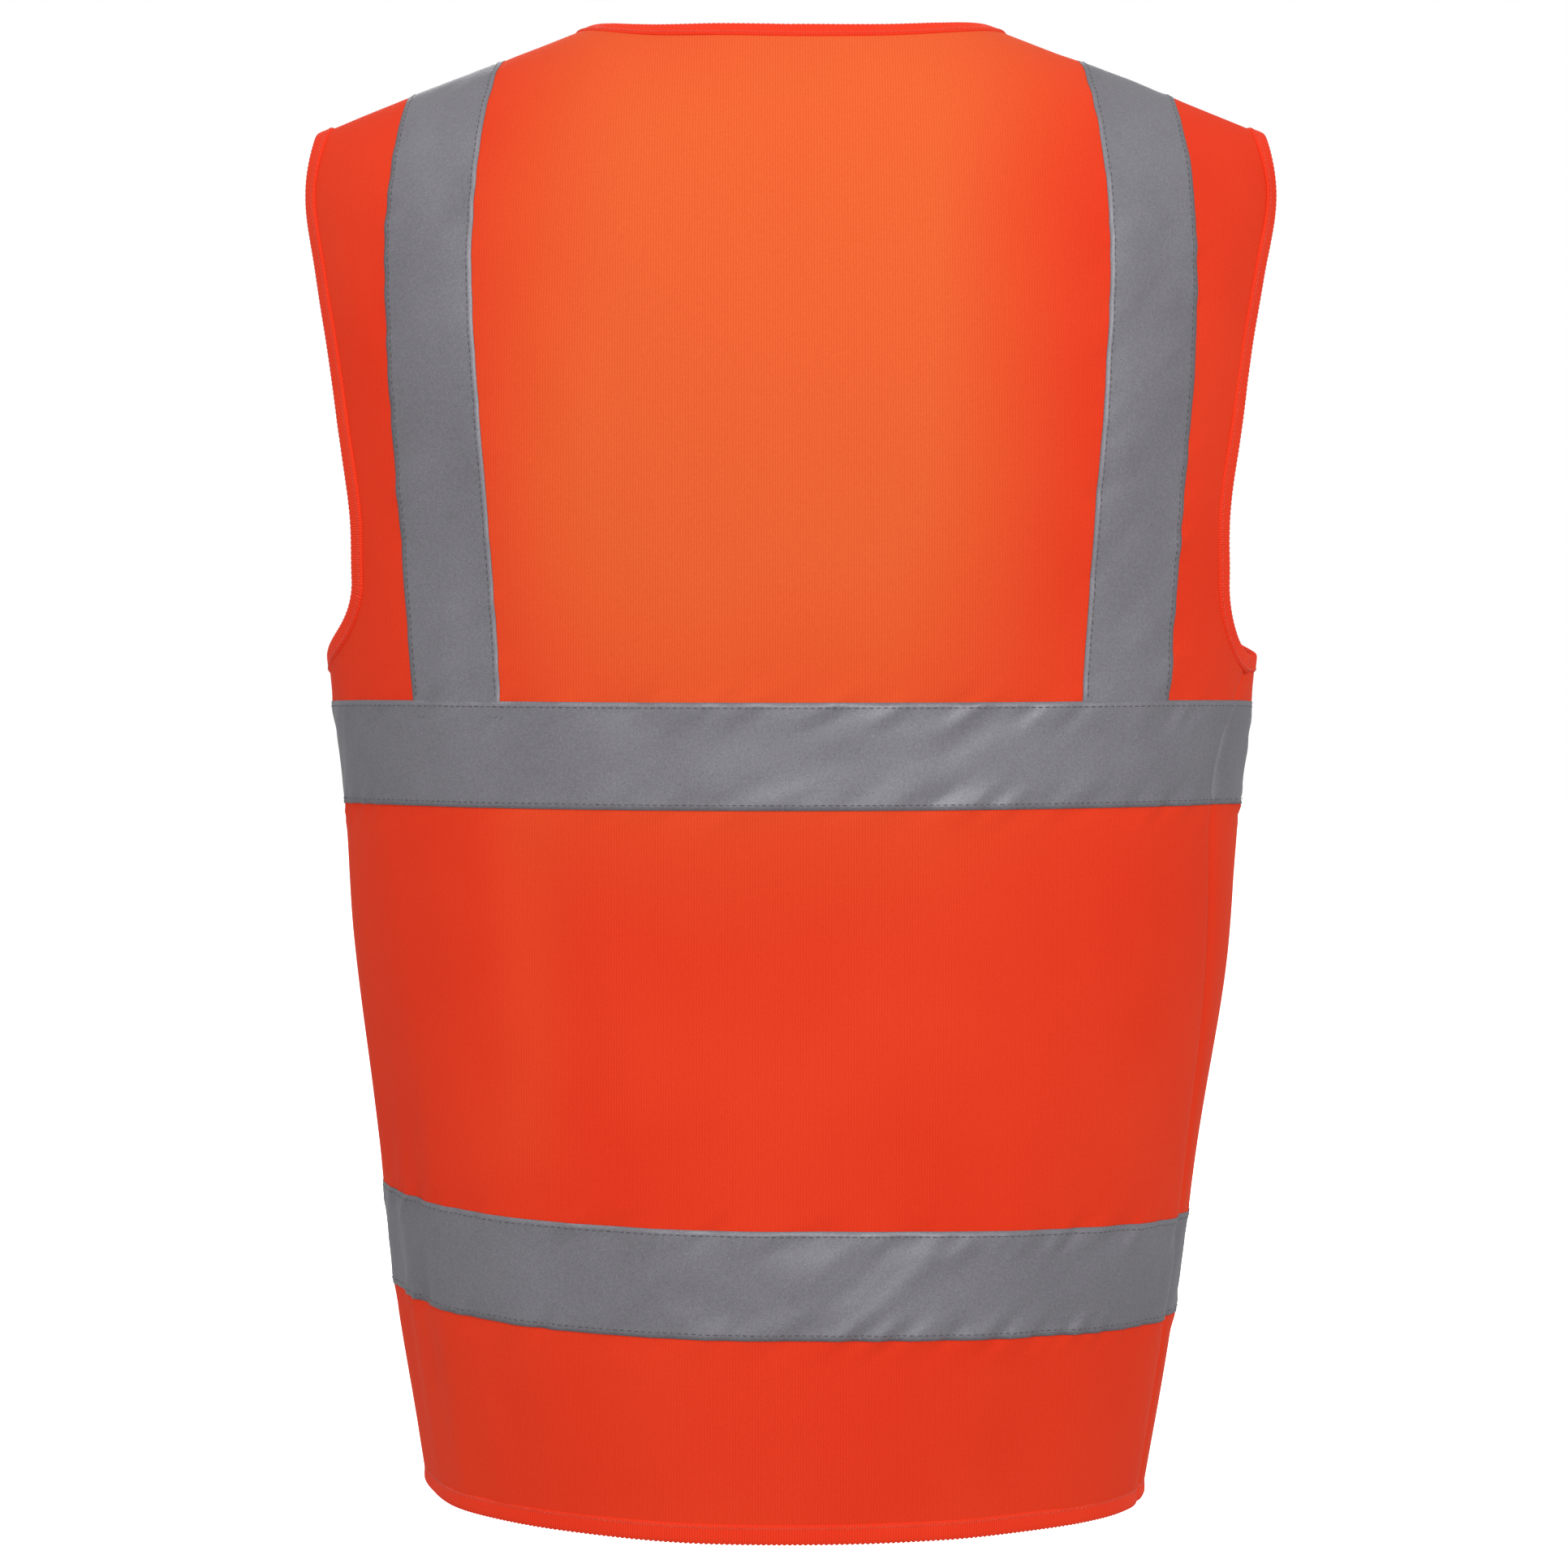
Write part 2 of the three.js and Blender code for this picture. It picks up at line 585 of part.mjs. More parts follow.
for (const side of SIDES) {
  add(`front_side_${side.name}`, frontSidePanel(side.name), 'cloth');
  add(`front_flap_${side.name}`, frontFlapPanel(side.name), 'cloth');
  add(`front_side_band_upper_${side.name}`, frontSideBand(side.name, UPPER_BAND_TOP), 'tape');
  add(`front_side_band_lower_${side.name}`, frontSideBand(side.name, LOWER_BAND_TOP), 'tape');
  add(`front_flap_band_upper_${side.name}`, frontFlapBand(side.name, UPPER_BAND_TOP), 'tape');
  add(`front_flap_band_lower_${side.name}`, frontFlapBand(side.name, LOWER_BAND_TOP), 'tape');
  add(`back_brace_${side.name}`, brace('back', side.name), 'tape');
  add(`front_brace_${side.name}`, brace('front', side.name), 'tape');
  add(`armhole_binding_${side.name}`, armholeBinding(side), 'binding');
  add(`front_edge_binding_${side.name}`, frontEdgeBinding(side), 'binding');
}

for (const [place, level] of Object.entries(PATCH_LEVELS)) {
  add(`hook_patch_${place}`, closurePatch('left', level, -1), 'hook');
  add(`loop_patch_${place}`, closurePatch('right', level, 1), 'loop');
}

export default vest;
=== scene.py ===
import math

import bpy
import numpy as np
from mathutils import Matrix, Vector


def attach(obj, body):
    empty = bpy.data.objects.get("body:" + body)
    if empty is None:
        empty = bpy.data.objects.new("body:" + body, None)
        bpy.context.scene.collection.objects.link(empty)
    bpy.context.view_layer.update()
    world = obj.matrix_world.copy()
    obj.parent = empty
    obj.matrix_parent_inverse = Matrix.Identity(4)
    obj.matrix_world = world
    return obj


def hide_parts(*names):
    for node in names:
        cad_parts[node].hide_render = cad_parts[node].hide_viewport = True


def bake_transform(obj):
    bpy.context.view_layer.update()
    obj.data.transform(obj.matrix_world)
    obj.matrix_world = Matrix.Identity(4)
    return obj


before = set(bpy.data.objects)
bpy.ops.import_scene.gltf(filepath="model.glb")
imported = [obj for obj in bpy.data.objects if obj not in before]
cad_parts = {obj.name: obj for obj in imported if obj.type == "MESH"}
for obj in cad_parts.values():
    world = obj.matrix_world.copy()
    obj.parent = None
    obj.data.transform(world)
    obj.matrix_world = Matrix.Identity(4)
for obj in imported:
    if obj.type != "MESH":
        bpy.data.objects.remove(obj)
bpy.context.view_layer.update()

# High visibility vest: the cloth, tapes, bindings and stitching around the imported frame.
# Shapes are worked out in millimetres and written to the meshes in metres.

MM = 0.001
BACK, FRONT = 1, -1
LEFT, RIGHT = 1, -1

# ---------- driving dimensions, as in the part ----------

HEM_LEVEL = -722.0
UNDERARM_LEVEL = -316.0
NECK_HALF_WIDTH = 100.7
BACK_NECK_DROP = 12.0
SHOULDER_SLOPE = 0.37
SIDE_RISE = 4.0

TAPE_WIDTH = 50.0
UPPER_BAND_TOP = -337.5
LOWER_BAND_TOP = -580.5

FRONT_OVERLAP = 22.0
NECK_V_LEVEL = -262.0
FRONT_CORNER_RADIUS = 22.0
FOLD_TOP_LEVEL = -75.0
FOLD_HEM_X = 98.0
FOLD_TOP_X = 66.0
FRONT_LIFT = 3.0
PATCH_LEVELS = {"top": -300.0, "middle": -484.0, "bottom": -672.0}
PATCH_WIDTH = 20.0
PATCH_HEIGHT = 50.0

SECTION_ROUNDNESS = 2.2
HALF_WIDTH = [
    (-722, 181), (-630, 195.7), (-531, 208), (-450, 217.7), (-384, 222.6), (-312, 230.8),
    (-168, 242), (-50, 251.5), (20, 254),
]
BACK_DEPTH = [(-722, 153), (-580, 150), (-440, 141), (-320, 139), (-160, 142), (20, 142)]
FRONT_DEPTH = [(-722, 138), (-580, 134), (-440, 131), (-320, 130), (-160, 124), (20, 118)]
BACK_FALL = 2.7
FRONT_FALL = 2.3
SEAM_ANGLE = {
    LEFT: [(-722, 90), (-316, 90)],
    RIGHT: [(-722, 72), (-580, 73), (-430, 67), (-370, 66), (-345, 69), (-316, 77)],
}
ARMHOLE_BACK = [
    (0.14, 63.5), (0.25, 62.6), (0.4, 64.5), (0.55, 66.8), (0.71, 70.3), (0.87, 73.5), (1, 68.3),
]
ARMHOLE_FRONT = [(0.14, 63.5), (0.3, 60.5), (0.5, 61.5), (0.7, 65.5), (0.87, 70), (1, 68.3)]
ARMHOLE_CORNER_SHARE = 0.14
BRACE_CENTRE_X = [(-337.5, 159), (-250, 165), (-126, 173.5), (-60, 172), (0, 165)]
INNER_COLUMN_ANGLE = 22.0

# ---------- what only the looks need ----------

CLOTH_HALF = 0.22  # half the cloth's thickness
TAPE_OFF = 0.3  # the tape's underside above the middle of the cloth
TAPE_TOP = 0.62
GRID_STEP = 2.8
BINDING_STEP = 0.8
STITCH_PITCH = 3.4
STITCH_INSET = 2.5
RIB_PITCH = 1.3
BODY_RADIUS = 165.0  # turns an angle round the body into a distance, for the drape

# ---------- the surface that the cloth lies on ----------


def smooth_curve(stations, place):
    """A smooth curve through (place, value) stations, level beyond both ends."""
    xs, ys = np.array(stations, float).T
    last = len(xs) - 1
    before = np.maximum(np.arange(last + 1) - 1, 0)
    after = np.minimum(np.arange(last + 1) + 1, last)
    slopes = (ys[after] - ys[before]) / (xs[after] - xs[before])
    at = np.clip(place, xs[0], xs[-1])
    i = np.clip(np.searchsorted(xs, at, side="right") - 1, 0, last - 1)
    span = xs[i + 1] - xs[i]
    t = (at - xs[i]) / span
    rise = ys[i + 1] - ys[i]
    a = slopes[i] * span - rise
    b = rise - slopes[i + 1] * span
    return ys[i] + t * rise + t * (1 - t) * ((1 - t) * a + t * b)


def smoothstep(value, low, high):
    t = np.clip((value - low) / (high - low), 0, 1)
    return t * t * (3 - 2 * t)


def ridge_height(x):
    out = np.abs(x) / NECK_HALF_WIDTH
    beyond = -SHOULDER_SLOPE * NECK_HALF_WIDTH * (out - 1)
    arch = SHOULDER_SLOPE * NECK_HALF_WIDTH * (1 - out * out) / 2
    return np.where(out >= 1, beyond, arch)


def back_top_height(x):
    out = np.abs(x) / NECK_HALF_WIDTH
    return np.where(out < 1, -BACK_NECK_DROP * (1 - out**3), ridge_height(x))


def section_x(angle, height):
    sine = np.sin(angle)
    return smooth_curve(HALF_WIDTH, height) * np.sign(sine) * np.abs(sine) ** (2 / SECTION_ROUNDNESS)


def angle_at_x(x, height):
    share = np.clip(x / smooth_curve(HALF_WIDTH, height), -1, 1)
    return np.sign(share) * np.arcsin(np.abs(share) ** (SECTION_ROUNDNESS / 2))


def armhole_share(level):
    return np.clip((level - UNDERARM_LEVEL) / -UNDERARM_LEVEL, 0, 1)


def low_height(angle, level):
    share = np.clip((level - HEM_LEVEL) / (UNDERARM_LEVEL - HEM_LEVEL), 0, 1)
    return np.minimum(level, UNDERARM_LEVEL) + SIDE_RISE * share * np.sin(angle) ** 2


HEIGHT_ROUNDS = 9  # enough for the two halves to meet without a gap along the shoulder ridge


def raised_height(angle, low, share, top):
    height = low
    for _ in range(HEIGHT_ROUNDS):
        height = low + share * (top(section_x(angle, height)) - low)
    return height


def body_point(half, angle, level, climb):
    height = raised_height(angle, low_height(angle, level), climb, ridge_height)
    cosine = np.cos(angle)
    on_back = (half == BACK) == (cosine >= 0)
    depth = np.where(on_back, smooth_curve(BACK_DEPTH, height), smooth_curve(FRONT_DEPTH, height))
    power = np.where(on_back, BACK_FALL, FRONT_FALL)
    fall = np.maximum(1 - climb**power, 0) ** (1 / power)
    y = depth * np.abs(cosine) ** (2 / SECTION_ROUNDNESS) * fall
    return np.stack([section_x(angle, height), np.where(on_back, y, -y), height], -1)


def row_climb(half, angle, level):
    share = armhole_share(level)
    if half == FRONT:
        return share + 0 * angle
    low = low_height(angle, level)
    height = raised_height(angle, low, share, back_top_height)
    return np.where(share > 0, (height - low) / (ridge_height(section_x(angle, height)) - low), 0)


def outward_normal(half, angle, level, climb):
    e = 1e-4
    across = body_point(half, angle + e, level, climb) - body_point(half, angle - e, level, climb)
    rising = body_point(half, angle, level, climb) - body_point(half, angle, level, np.maximum(climb - e, 0))
    level_part = body_point(half, angle, level, climb) - body_point(half, angle, level - e, climb)
    up = np.where((climb > 0)[..., None], rising, level_part)
    normal = np.cross(up, across) * half
    return normal / np.linalg.norm(normal, axis=-1, keepdims=True)


# ---------- the cloth's own lines ----------


def seam_angle(side, level):
    """The side seam's angle from the centre of the back, in radians."""
    left, right = (smooth_curve(SEAM_ANGLE[s], level) for s in (LEFT, RIGHT))
    return np.radians(np.where(side == LEFT, left, right))


def armhole_angle(half, side, level):
    share = armhole_share(level)
    seam = seam_angle(side, level)
    seam = seam if half == BACK else np.pi - seam
    edge = np.radians(smooth_curve(ARMHOLE_BACK if half == BACK else ARMHOLE_FRONT, share))
    corner = np.clip(1 - share / ARMHOLE_CORNER_SHARE, 0, 1)
    return edge + (seam - edge) * (1 - np.sqrt(1 - corner**2))


def front_edge_x(level):
    neck = -FRONT_OVERLAP + (NECK_HALF_WIDTH + FRONT_OVERLAP) * (level - NECK_V_LEVEL) / -NECK_V_LEVEL
    corner = np.clip(1 - (level - HEM_LEVEL) / FRONT_CORNER_RADIUS, 0, 1)
    straight = -FRONT_OVERLAP + FRONT_CORNER_RADIUS * (1 - np.sqrt(1 - corner**2))
    return np.where(level > NECK_V_LEVEL, neck, straight)


def fold_x(level):
    share = (level - HEM_LEVEL) / (FOLD_TOP_LEVEL - HEM_LEVEL)
    return FOLD_HEM_X + (FOLD_TOP_X - FOLD_HEM_X) * share


def brace_table(half, direction):
    """The angles of one edge of the braces, by level."""
    levels = np.linspace(UPPER_BAND_TOP, 0, 120)
    x = smooth_curve(BRACE_CENTRE_X, levels)
    height = np.where(
        levels <= UNDERARM_LEVEL, levels,
        UNDERARM_LEVEL + armhole_share(levels) * (ridge_height(x) - UNDERARM_LEVEL),
    )
    angles = angle_at_x(x, height)[:, None] + direction * np.radians(np.linspace(0, 25, 251))
    grid_levels = np.broadcast_to(levels[:, None], angles.shape)
    points = body_point(half, angles, grid_levels, row_climb(half, angles, grid_levels))
    steps = np.linalg.norm(np.diff(points, axis=1), axis=-1)
    walked = np.concatenate([np.zeros((len(levels), 1)), np.cumsum(steps, axis=1)], axis=1)
    found = [np.interp(TAPE_WIDTH / 2, walked[i], angles[i]) for i in range(len(levels))]
    return levels, np.array(found)


BRACE_TABLES = {(half, d): brace_table(half, d) for half in (BACK, FRONT) for d in (-1, 1)}


def column_angle(half, side, column, level):
    """Columns: 0 centre or front edge, 1 free column or fold line, 2 and 3 the brace's edges,
    4 the side seam and armhole."""
    share = armhole_share(level) ** 2
    if half == BACK:
        first = 0 * level
        neck = np.radians(INNER_COLUMN_ANGLE)
        second = neck + (angle_at_x(NECK_HALF_WIDTH, 0.0) - neck) * share
    else:
        first = angle_at_x(front_edge_x(level), level)
        second = angle_at_x(np.maximum(fold_x(level), front_edge_x(level)), level)
    inner = np.interp(level, *BRACE_TABLES[half, -1])
    outer = np.interp(level, *BRACE_TABLES[half, 1])
    keys = np.stack([first, second, inner, outer, armhole_angle(half, side, level)])
    zone = np.clip(np.floor(column).astype(int), 0, 3)
    part = column - zone
    start = np.take_along_axis(keys, zone[None], 0)[0]
    end = np.take_along_axis(keys, zone[None] + 1, 0)[0]
    angle = start + (end - start) * part
    if half == FRONT:
        return angle
    neck_angle = angle_at_x(NECK_HALF_WIDTH * np.sin(np.pi / 2 * part), 0.0)
    return np.where(zone == 0, angle + (neck_angle - angle) * share, angle)


# ---------- drape: soft folds that everything on the cloth follows ----------

NOISE_SIZE = 64
NOISE_TABLES = [np.random.default_rng(seed).random((NOISE_SIZE, NOISE_SIZE)) * 2 - 1 for seed in range(6)]


def soft_noise(u, v, seed):
    """Smooth noise between about -1 and 1, one lump to a unit of u and of v."""
    iu, iv = np.floor(u).astype(int), np.floor(v).astype(int)
    fu, fv = smoothstep(u - iu, 0, 1), smoothstep(v - iv, 0, 1)
    table = NOISE_TABLES[seed]

    def at(du, dv):
        return table[(iu + du) % NOISE_SIZE, (iv + dv) % NOISE_SIZE]

    low = at(0, 0) * (1 - fu) + at(1, 0) * fu
    high = at(0, 1) * (1 - fu) + at(1, 1) * fu
    return low * (1 - fv) + high * fv


def bump(value, centre, width):
    return np.exp(-(((value - centre) / width) ** 2))


PUCKER_REACH = 8.0  # how far from a stitch row the cloth is gathered
BAND_PUCKER, BRACE_PUCKER = 1.6, 0.8  # heights of the gathers
CREASE_HEIGHT = 1.15


def tape_pucker(column, around, height):
    """Small gathers along the stitch rows of the bands and braces."""
    bands = sum(
        bump(height, edge, PUCKER_REACH)
        for top in (UPPER_BAND_TOP, LOWER_BAND_TOP)
        for edge in (top - STITCH_INSET, top - TAPE_WIDTH + STITCH_INSET)
    )
    braces = sum(bump((column - edge) * TAPE_WIDTH, 0, PUCKER_REACH) for edge in (2.04, 2.96))
    braces = braces * smoothstep(height, UPPER_BAND_TOP, UPPER_BAND_TOP + 6)
    along_bands = soft_noise(around / 7.0 + height / 9.0, height / 40.0, 1)
    along_braces = soft_noise(height / 8.0 + around / 14.0, around / 40.0, 5)
    return BAND_PUCKER * bands * along_bands + BRACE_PUCKER * braces * along_braces


def tape_wrinkle(column, around, height):
    """Shallow slanting creases that the stiffer tape presses into the cloth."""
    bands = sum(
        smoothstep(height, top - TAPE_WIDTH - 8, top - TAPE_WIDTH + 6) * smoothstep(height, top + 8, top - 6)
        for top in (UPPER_BAND_TOP, LOWER_BAND_TOP)
    )
    above_band = smoothstep(height, UPPER_BAND_TOP, UPPER_BAND_TOP + 10)
    braces = bump((column - 2.5) * TAPE_WIDTH, 0, 26.0) * above_band
    slanted = soft_noise(around / 17.0 + height / 21.0, height / 30.0 - around / 60.0, 4)
    return CREASE_HEIGHT * (bands + braces) * slanted * np.abs(slanted)


def side_crease(side, from_back, height, y):
    """The fold that the side seam pulls in, deeper on the right, and the one along the shoulder."""
    away = (from_back - seam_angle(side, height)) * BODY_RADIUS
    below = smoothstep(height, UNDERARM_LEVEL + 10, UNDERARM_LEVEL - 5)
    right = np.where(side == RIGHT, 1.0, 0.0)
    pulled = 1.0 * np.exp(-((away / 2.6) ** 2)) + 1.7 * right * np.exp(-np.abs(away) / 7.0)
    return -below * pulled - 0.7 * (1 - below) * bump(y, 0, 2.4)


EDGE_HELD = 10.0  # the binding holds the cloth flat up to here from the front edge
EDGE_FREE = 60.0  # and it drapes freely from here on


def soft_folds(around, height):
    """Wide, middling and small folds all over, and a wave along the hem."""
    low = smoothstep(height, -330.0, -700.0)
    wide = 2.2 * soft_noise(around / 95.0, height / 260.0, 0)
    middling = (0.9 + 1.9 * low) * soft_noise(around / 46.0 + height / 420.0, height / 330.0, 2)
    small = 0.6 * soft_noise(around / 21.0 - height / 160.0, height / 75.0, 3)
    hem_wave = 2.0 * bump(height, HEM_LEVEL, 75.0) * np.sin(around / 33.0 + 0.9)
    return wide + middling + small + hem_wave


def single_folds(around, height):
    """Folds with a place of their own, all on the left of the back."""
    below_upper = smoothstep(height, UPPER_BAND_TOP - 35, UPPER_BAND_TOP - 90)
    above_lower = smoothstep(height, LOWER_BAND_TOP - 20, -520.0)
    hollow_between_bands = 2.4 * bump(around, 80.0, 19.0) * below_upper * above_lower
    dent_inside_brace = 0.7 * bump(around, 53.0, 6.0) * bump(height, -225.0, 75.0)
    near_lower_band = smoothstep(height, -500.0, -590.0) * smoothstep(height, -735.0, -660.0)
    band_end = bump(around, 188.0, 38.0) * near_lower_band
    upright = 1.3 * band_end * np.sin(around / 6.4 + height / 140.0)
    return upright - hollow_between_bands - dent_inside_brace


def drape(side, column, from_back, point):
    """How far the cloth stands out from the smooth body shape, in millimetres."""
    height, y = point[..., 2], point[..., 1]
    around = side * from_back * BODY_RADIUS
    out = soft_folds(around, height) + single_folds(around, height)
    out = out + tape_pucker(column, around, height) + tape_wrinkle(column, around, height)
    above_underarm = smoothstep(height, UNDERARM_LEVEL, UNDERARM_LEVEL + 60)
    near_shoulder = above_underarm * smoothstep(np.abs(y), 45.0, 2.0)
    from_edge = point[..., 0] - front_edge_x(height)
    free = np.where(from_back > np.pi / 2, smoothstep(from_edge, EDGE_HELD, EDGE_FREE), 1.0)
    return out * (1 - near_shoulder) * free + side_crease(side, from_back, height, y)


def sag(point):
    """The vest hangs a little crooked: further in at the bottom, on the right more than on the left."""
    x, height = point[..., 0], point[..., 2]
    drop = 7.0 * (x / 200.0) * np.abs(x / 200.0) * bump(height, -605.0, 110.0)
    low = smoothstep(height, -450.0, -560.0)
    lowest = smoothstep(height, -620.0, -700.0)
    inward = 3.5 * low * smoothstep(-x, 80.0, 200.0) - 2.5 * lowest * smoothstep(x, 80.0, 200.0)
    return np.stack([inward, 0 * drop, drop], -1)


def cloth_frame(half, side, column, level):
    """Points on the middle of the cloth and the outward directions there."""
    column, level = np.broadcast_arrays(np.asarray(column, float), np.asarray(level, float))
    side = np.broadcast_to(np.asarray(side), column.shape)
    angle = column_angle(half, side, column, level)
    climb = row_climb(half, angle, level)
    point = body_point(half, angle, level, climb)
    normal = outward_normal(half, angle, level, climb)
    if half == FRONT:
        lift = FRONT_LIFT * side * (1 - smoothstep(point[..., 0], 30, 58))
        point = point + normal * lift[..., None]
    mirror = np.stack([side, np.ones(side.shape), np.ones(side.shape)], -1)
    point, normal = point * mirror, normal * mirror
    from_back = angle if half == BACK else np.pi - angle
    point = point + normal * drape(side, column, from_back, point * mirror)[..., None]
    return point + sag(point), normal


# ---------- meshes ----------


def make_object(name, points, faces, material, flat=None):
    mesh = bpy.data.meshes.new(name)
    mesh.from_pydata(np.asarray(points) * MM, [], faces)
    if flat is not None:
        layer = mesh.attributes.new("flat", "FLOAT_VECTOR", "POINT")
        layer.data.foreach_set("vector", np.asarray(flat, np.float32).ravel())
    mesh.polygons.foreach_set("use_smooth", np.ones(len(mesh.polygons), bool))
    mesh.materials.append(material)
    mesh.update()
    piece = bpy.data.objects.new(name, mesh)
    bpy.context.scene.collection.objects.link(piece)
    return piece


def distances(points, axis):
    steps = np.linalg.norm(np.diff(points, axis=axis), axis=-1)
    start = np.zeros_like(np.take(steps, [0], axis=axis))
    return np.cumsum(np.concatenate([start, steps], axis=axis), axis=axis)


def outward_faces(points, faces, normals):
    """Turns all faces over if they look inwards on the whole."""
    sample = faces[: max(1, len(faces) // 2)]
    corners = points[np.array(sample)]
    look = np.cross(corners[:, 1] - corners[:, 0], corners[:, 2] - corners[:, 0])
    toward = np.sum(look * normals[np.array(sample)[:, 0]])
    return faces if toward > 0 else faces[:, ::-1]


def plate(name, half, side, columns, levels, inner, outer, material, centre=0):
    """A thin closed sheet over a grid of columns and levels. Negative columns are on the right.
    Its flat attribute holds the distance along the rows and up the columns, in millimetres."""
    columns, levels = np.asarray(columns, float), np.asarray(levels, float)
    grid_column, grid_level = np.meshgrid(columns, levels)
    sides = np.where(grid_column < 0, RIGHT, LEFT) if side is None else side
    magnitude = np.abs(grid_column) if side is None else grid_column
    middle, normal = cloth_frame(half, sides, magnitude, grid_level)
    across = distances(middle, 1)
    across = across - across[:, [centre]]
    flat = np.stack([across, distances(middle, 0), 0 * across], -1)
    rows, count = grid_column.shape
    points = np.concatenate([(middle + normal * offset).reshape(-1, 3) for offset in (outer, inner)])
    index = np.arange(rows * count).reshape(rows, count)
    a, b, c, d = index[:-1, :-1], index[:-1, 1:], index[1:, 1:], index[1:, :-1]
    top = outward_faces(points, np.stack([a, b, c, d], -1).reshape(-1, 4), normal.reshape(-1, 3))
    size = rows * count
    rim = np.concatenate([index[0], index[1:, -1], index[-1, -2::-1], index[-2:0:-1, 0]])
    following = np.roll(rim, -1)
    flipped = top[0][1] != b.ravel()[0]
    edge = np.stack([rim, rim + size, following + size, following], -1)
    faces = np.concatenate([top, top[:, ::-1] + size, edge[:, ::-1] if flipped else edge])
    return make_object(
        name, points, faces.tolist(), material,
        np.concatenate([flat.reshape(-1, 3)] * 2),
    )


def even_path(points, normals, step, closed=False):
    """The same path with its points a step apart: points, directions outward and along."""
    if closed:
        points = np.concatenate([points, points[:1]])
        normals = np.concatenate([normals, normals[:1]])
    along = distances(points, 0)
    count = max(3, int(round(along[-1] / step)) + 1)
    at = np.linspace(0, along[-1], count)
    if closed:
        at = at[:-1]
    p = np.stack([np.interp(at, along, points[:, k]) for k in range(3)], -1)
    n = np.stack([np.interp(at, along, normals[:, k]) for k in range(3)], -1)
    if closed:
        tangent = np.roll(p, -1, 0) - np.roll(p, 1, 0)
    else:
        tangent = np.gradient(p, axis=0)
    tangent /= np.linalg.norm(tangent, axis=1, keepdims=True)
    n -= tangent * np.sum(n * tangent, 1, keepdims=True)
    n /= np.linalg.norm(n, axis=1, keepdims=True)
    return p, n, tangent, at


def joined(*runs):
    """One path out of several runs of cloth frames."""
    return np.concatenate([run[0] for run in runs]), np.concatenate([run[1] for run in runs])


def paint_light_through(piece):
    """Painted light: where the back hangs alone in front of the neck opening, its colour is made lighter and
    more orange, as if light came through the one layer of cloth; fainter painted light spreads below the
    upper band, and a painted highlight lies along a fold on the left between the bands.
    """
    points = np.empty(len(piece.data.vertices) * 3, np.float32)
    piece.data.vertices.foreach_get("co", points)
    x, _, height = points.reshape(-1, 3).T / MM
    upper = smoothstep(height, -455.0, -215.0) * (0.85 + 0.15 * smoothstep(height, -8.0, -60.0))
    wide = smoothstep(np.abs(x + 6.0 + 26.0 * soft_noise(height / 120.0, 0 * x, 1)), 175.0, 60.0)
    # painted light fading out below the upper band
    below = 0.18 * smoothstep(height, -470.0, -360.0) * smoothstep(np.abs(x - 10.0), 150.0, 20.0)
    below = below + 0.07 * bump(x, 5.0, 60.0) * smoothstep(height, -570.0, -430.0)
    between = smoothstep(height, -350.0, -395.0) * smoothstep(height, -590.0, -530.0)
    # painted highlight along the lit side of a fold between the bands
    ridge = 0.14 * bump(x, 123.0, 17.0) * between
    uneven = 0.88 + 0.14 * soft_noise(x / 55.0, height / 120.0, 2)
    layer = piece.data.attributes.new("painted_light_through", "FLOAT", "POINT")
    painted_light_through = (upper * wide + below + ridge) * uneven
    layer.data.foreach_set("value", np.clip(painted_light_through, 0, 1).astype(np.float32))


# ---------- stitches ----------

STITCH_RINGS = ((-0.78, 0.75), (0.0, 1.0), (0.78, 0.75))
STITCH_SIDES = 6
ZIGZAG_DEPTH = 6.4  # in from the bound edge
ZIGZAG_HEIGHT = 1.06
ZIGZAG_PITCH = 1.5
ZIGZAG_SWING = 0.9


def stitch_template():
    points = [(-1.0, 0.0, 0.0)]
    for along, radius in STITCH_RINGS:
        for k in range(STITCH_SIDES):
            turn = 2 * math.pi * k / STITCH_SIDES
            points.append((along, radius * math.cos(turn), radius * math.sin(turn)))
    points.append((1.0, 0.0, 0.0))
    tip = len(points) - 1
    faces = []
    for k in range(STITCH_SIDES):
        following = (k + 1) % STITCH_SIDES
        faces.append((0, 1 + following, 1 + k))
        for ring in range(len(STITCH_RINGS) - 1):
            a, b = 1 + ring * STITCH_SIDES, 1 + (ring + 1) * STITCH_SIDES
            faces.append((a + k, a + following, b + following, b + k))
        last = tip - STITCH_SIDES
        faces.append((last + k, last + following, tip))
    return np.array(points), faces


def thread_stitches(name, runs, length, radius, material):
    """Rows of short raised threads. A run holds centres, outward directions and directions along."""
    template, template_faces = stitch_template()
    points, faces, start = [], [], 0
    for centre, normal, along in runs:
        across = np.cross(normal, along)
        arch = 0.35 * radius * (1 - 2 * template[:, 0] ** 2)
        for k in range(len(centre)):
            points.append(
                centre[k]
                + np.outer(template[:, 0] * length / 2, along[k])
                + np.outer(template[:, 1] * radius, across[k])
                + np.outer(template[:, 2] * radius * 0.8 + arch, normal[k])
            )
            faces.extend([tuple(start + i for i in face) for face in template_faces])
            start += len(template)
    return make_object(name, np.concatenate(points), faces, material)


def stitch_run(points, normals, height, pitch=STITCH_PITCH):
    p, n, tangent, _ = even_path(points, normals, pitch)
    return p + n * height, n, tangent


def zigzag_run(points, normals, inward_of, height, closed):
    """A zigzag of threads beside an edge: each one leans the other way from the last."""
    p, n, tangent, _ = even_path(points, normals, ZIGZAG_PITCH, closed)
    inward = inward_of(p, n, tangent)
    lean = np.where(np.arange(len(p)) % 2 == 0, 1.0, -1.0)[:, None] * ZIGZAG_SWING
    along = tangent + inward * lean
    along /= np.linalg.norm(along, axis=1, keepdims=True)
    return p + inward * ZIGZAG_DEPTH + n * height, n, along


# ---------- bindings ----------


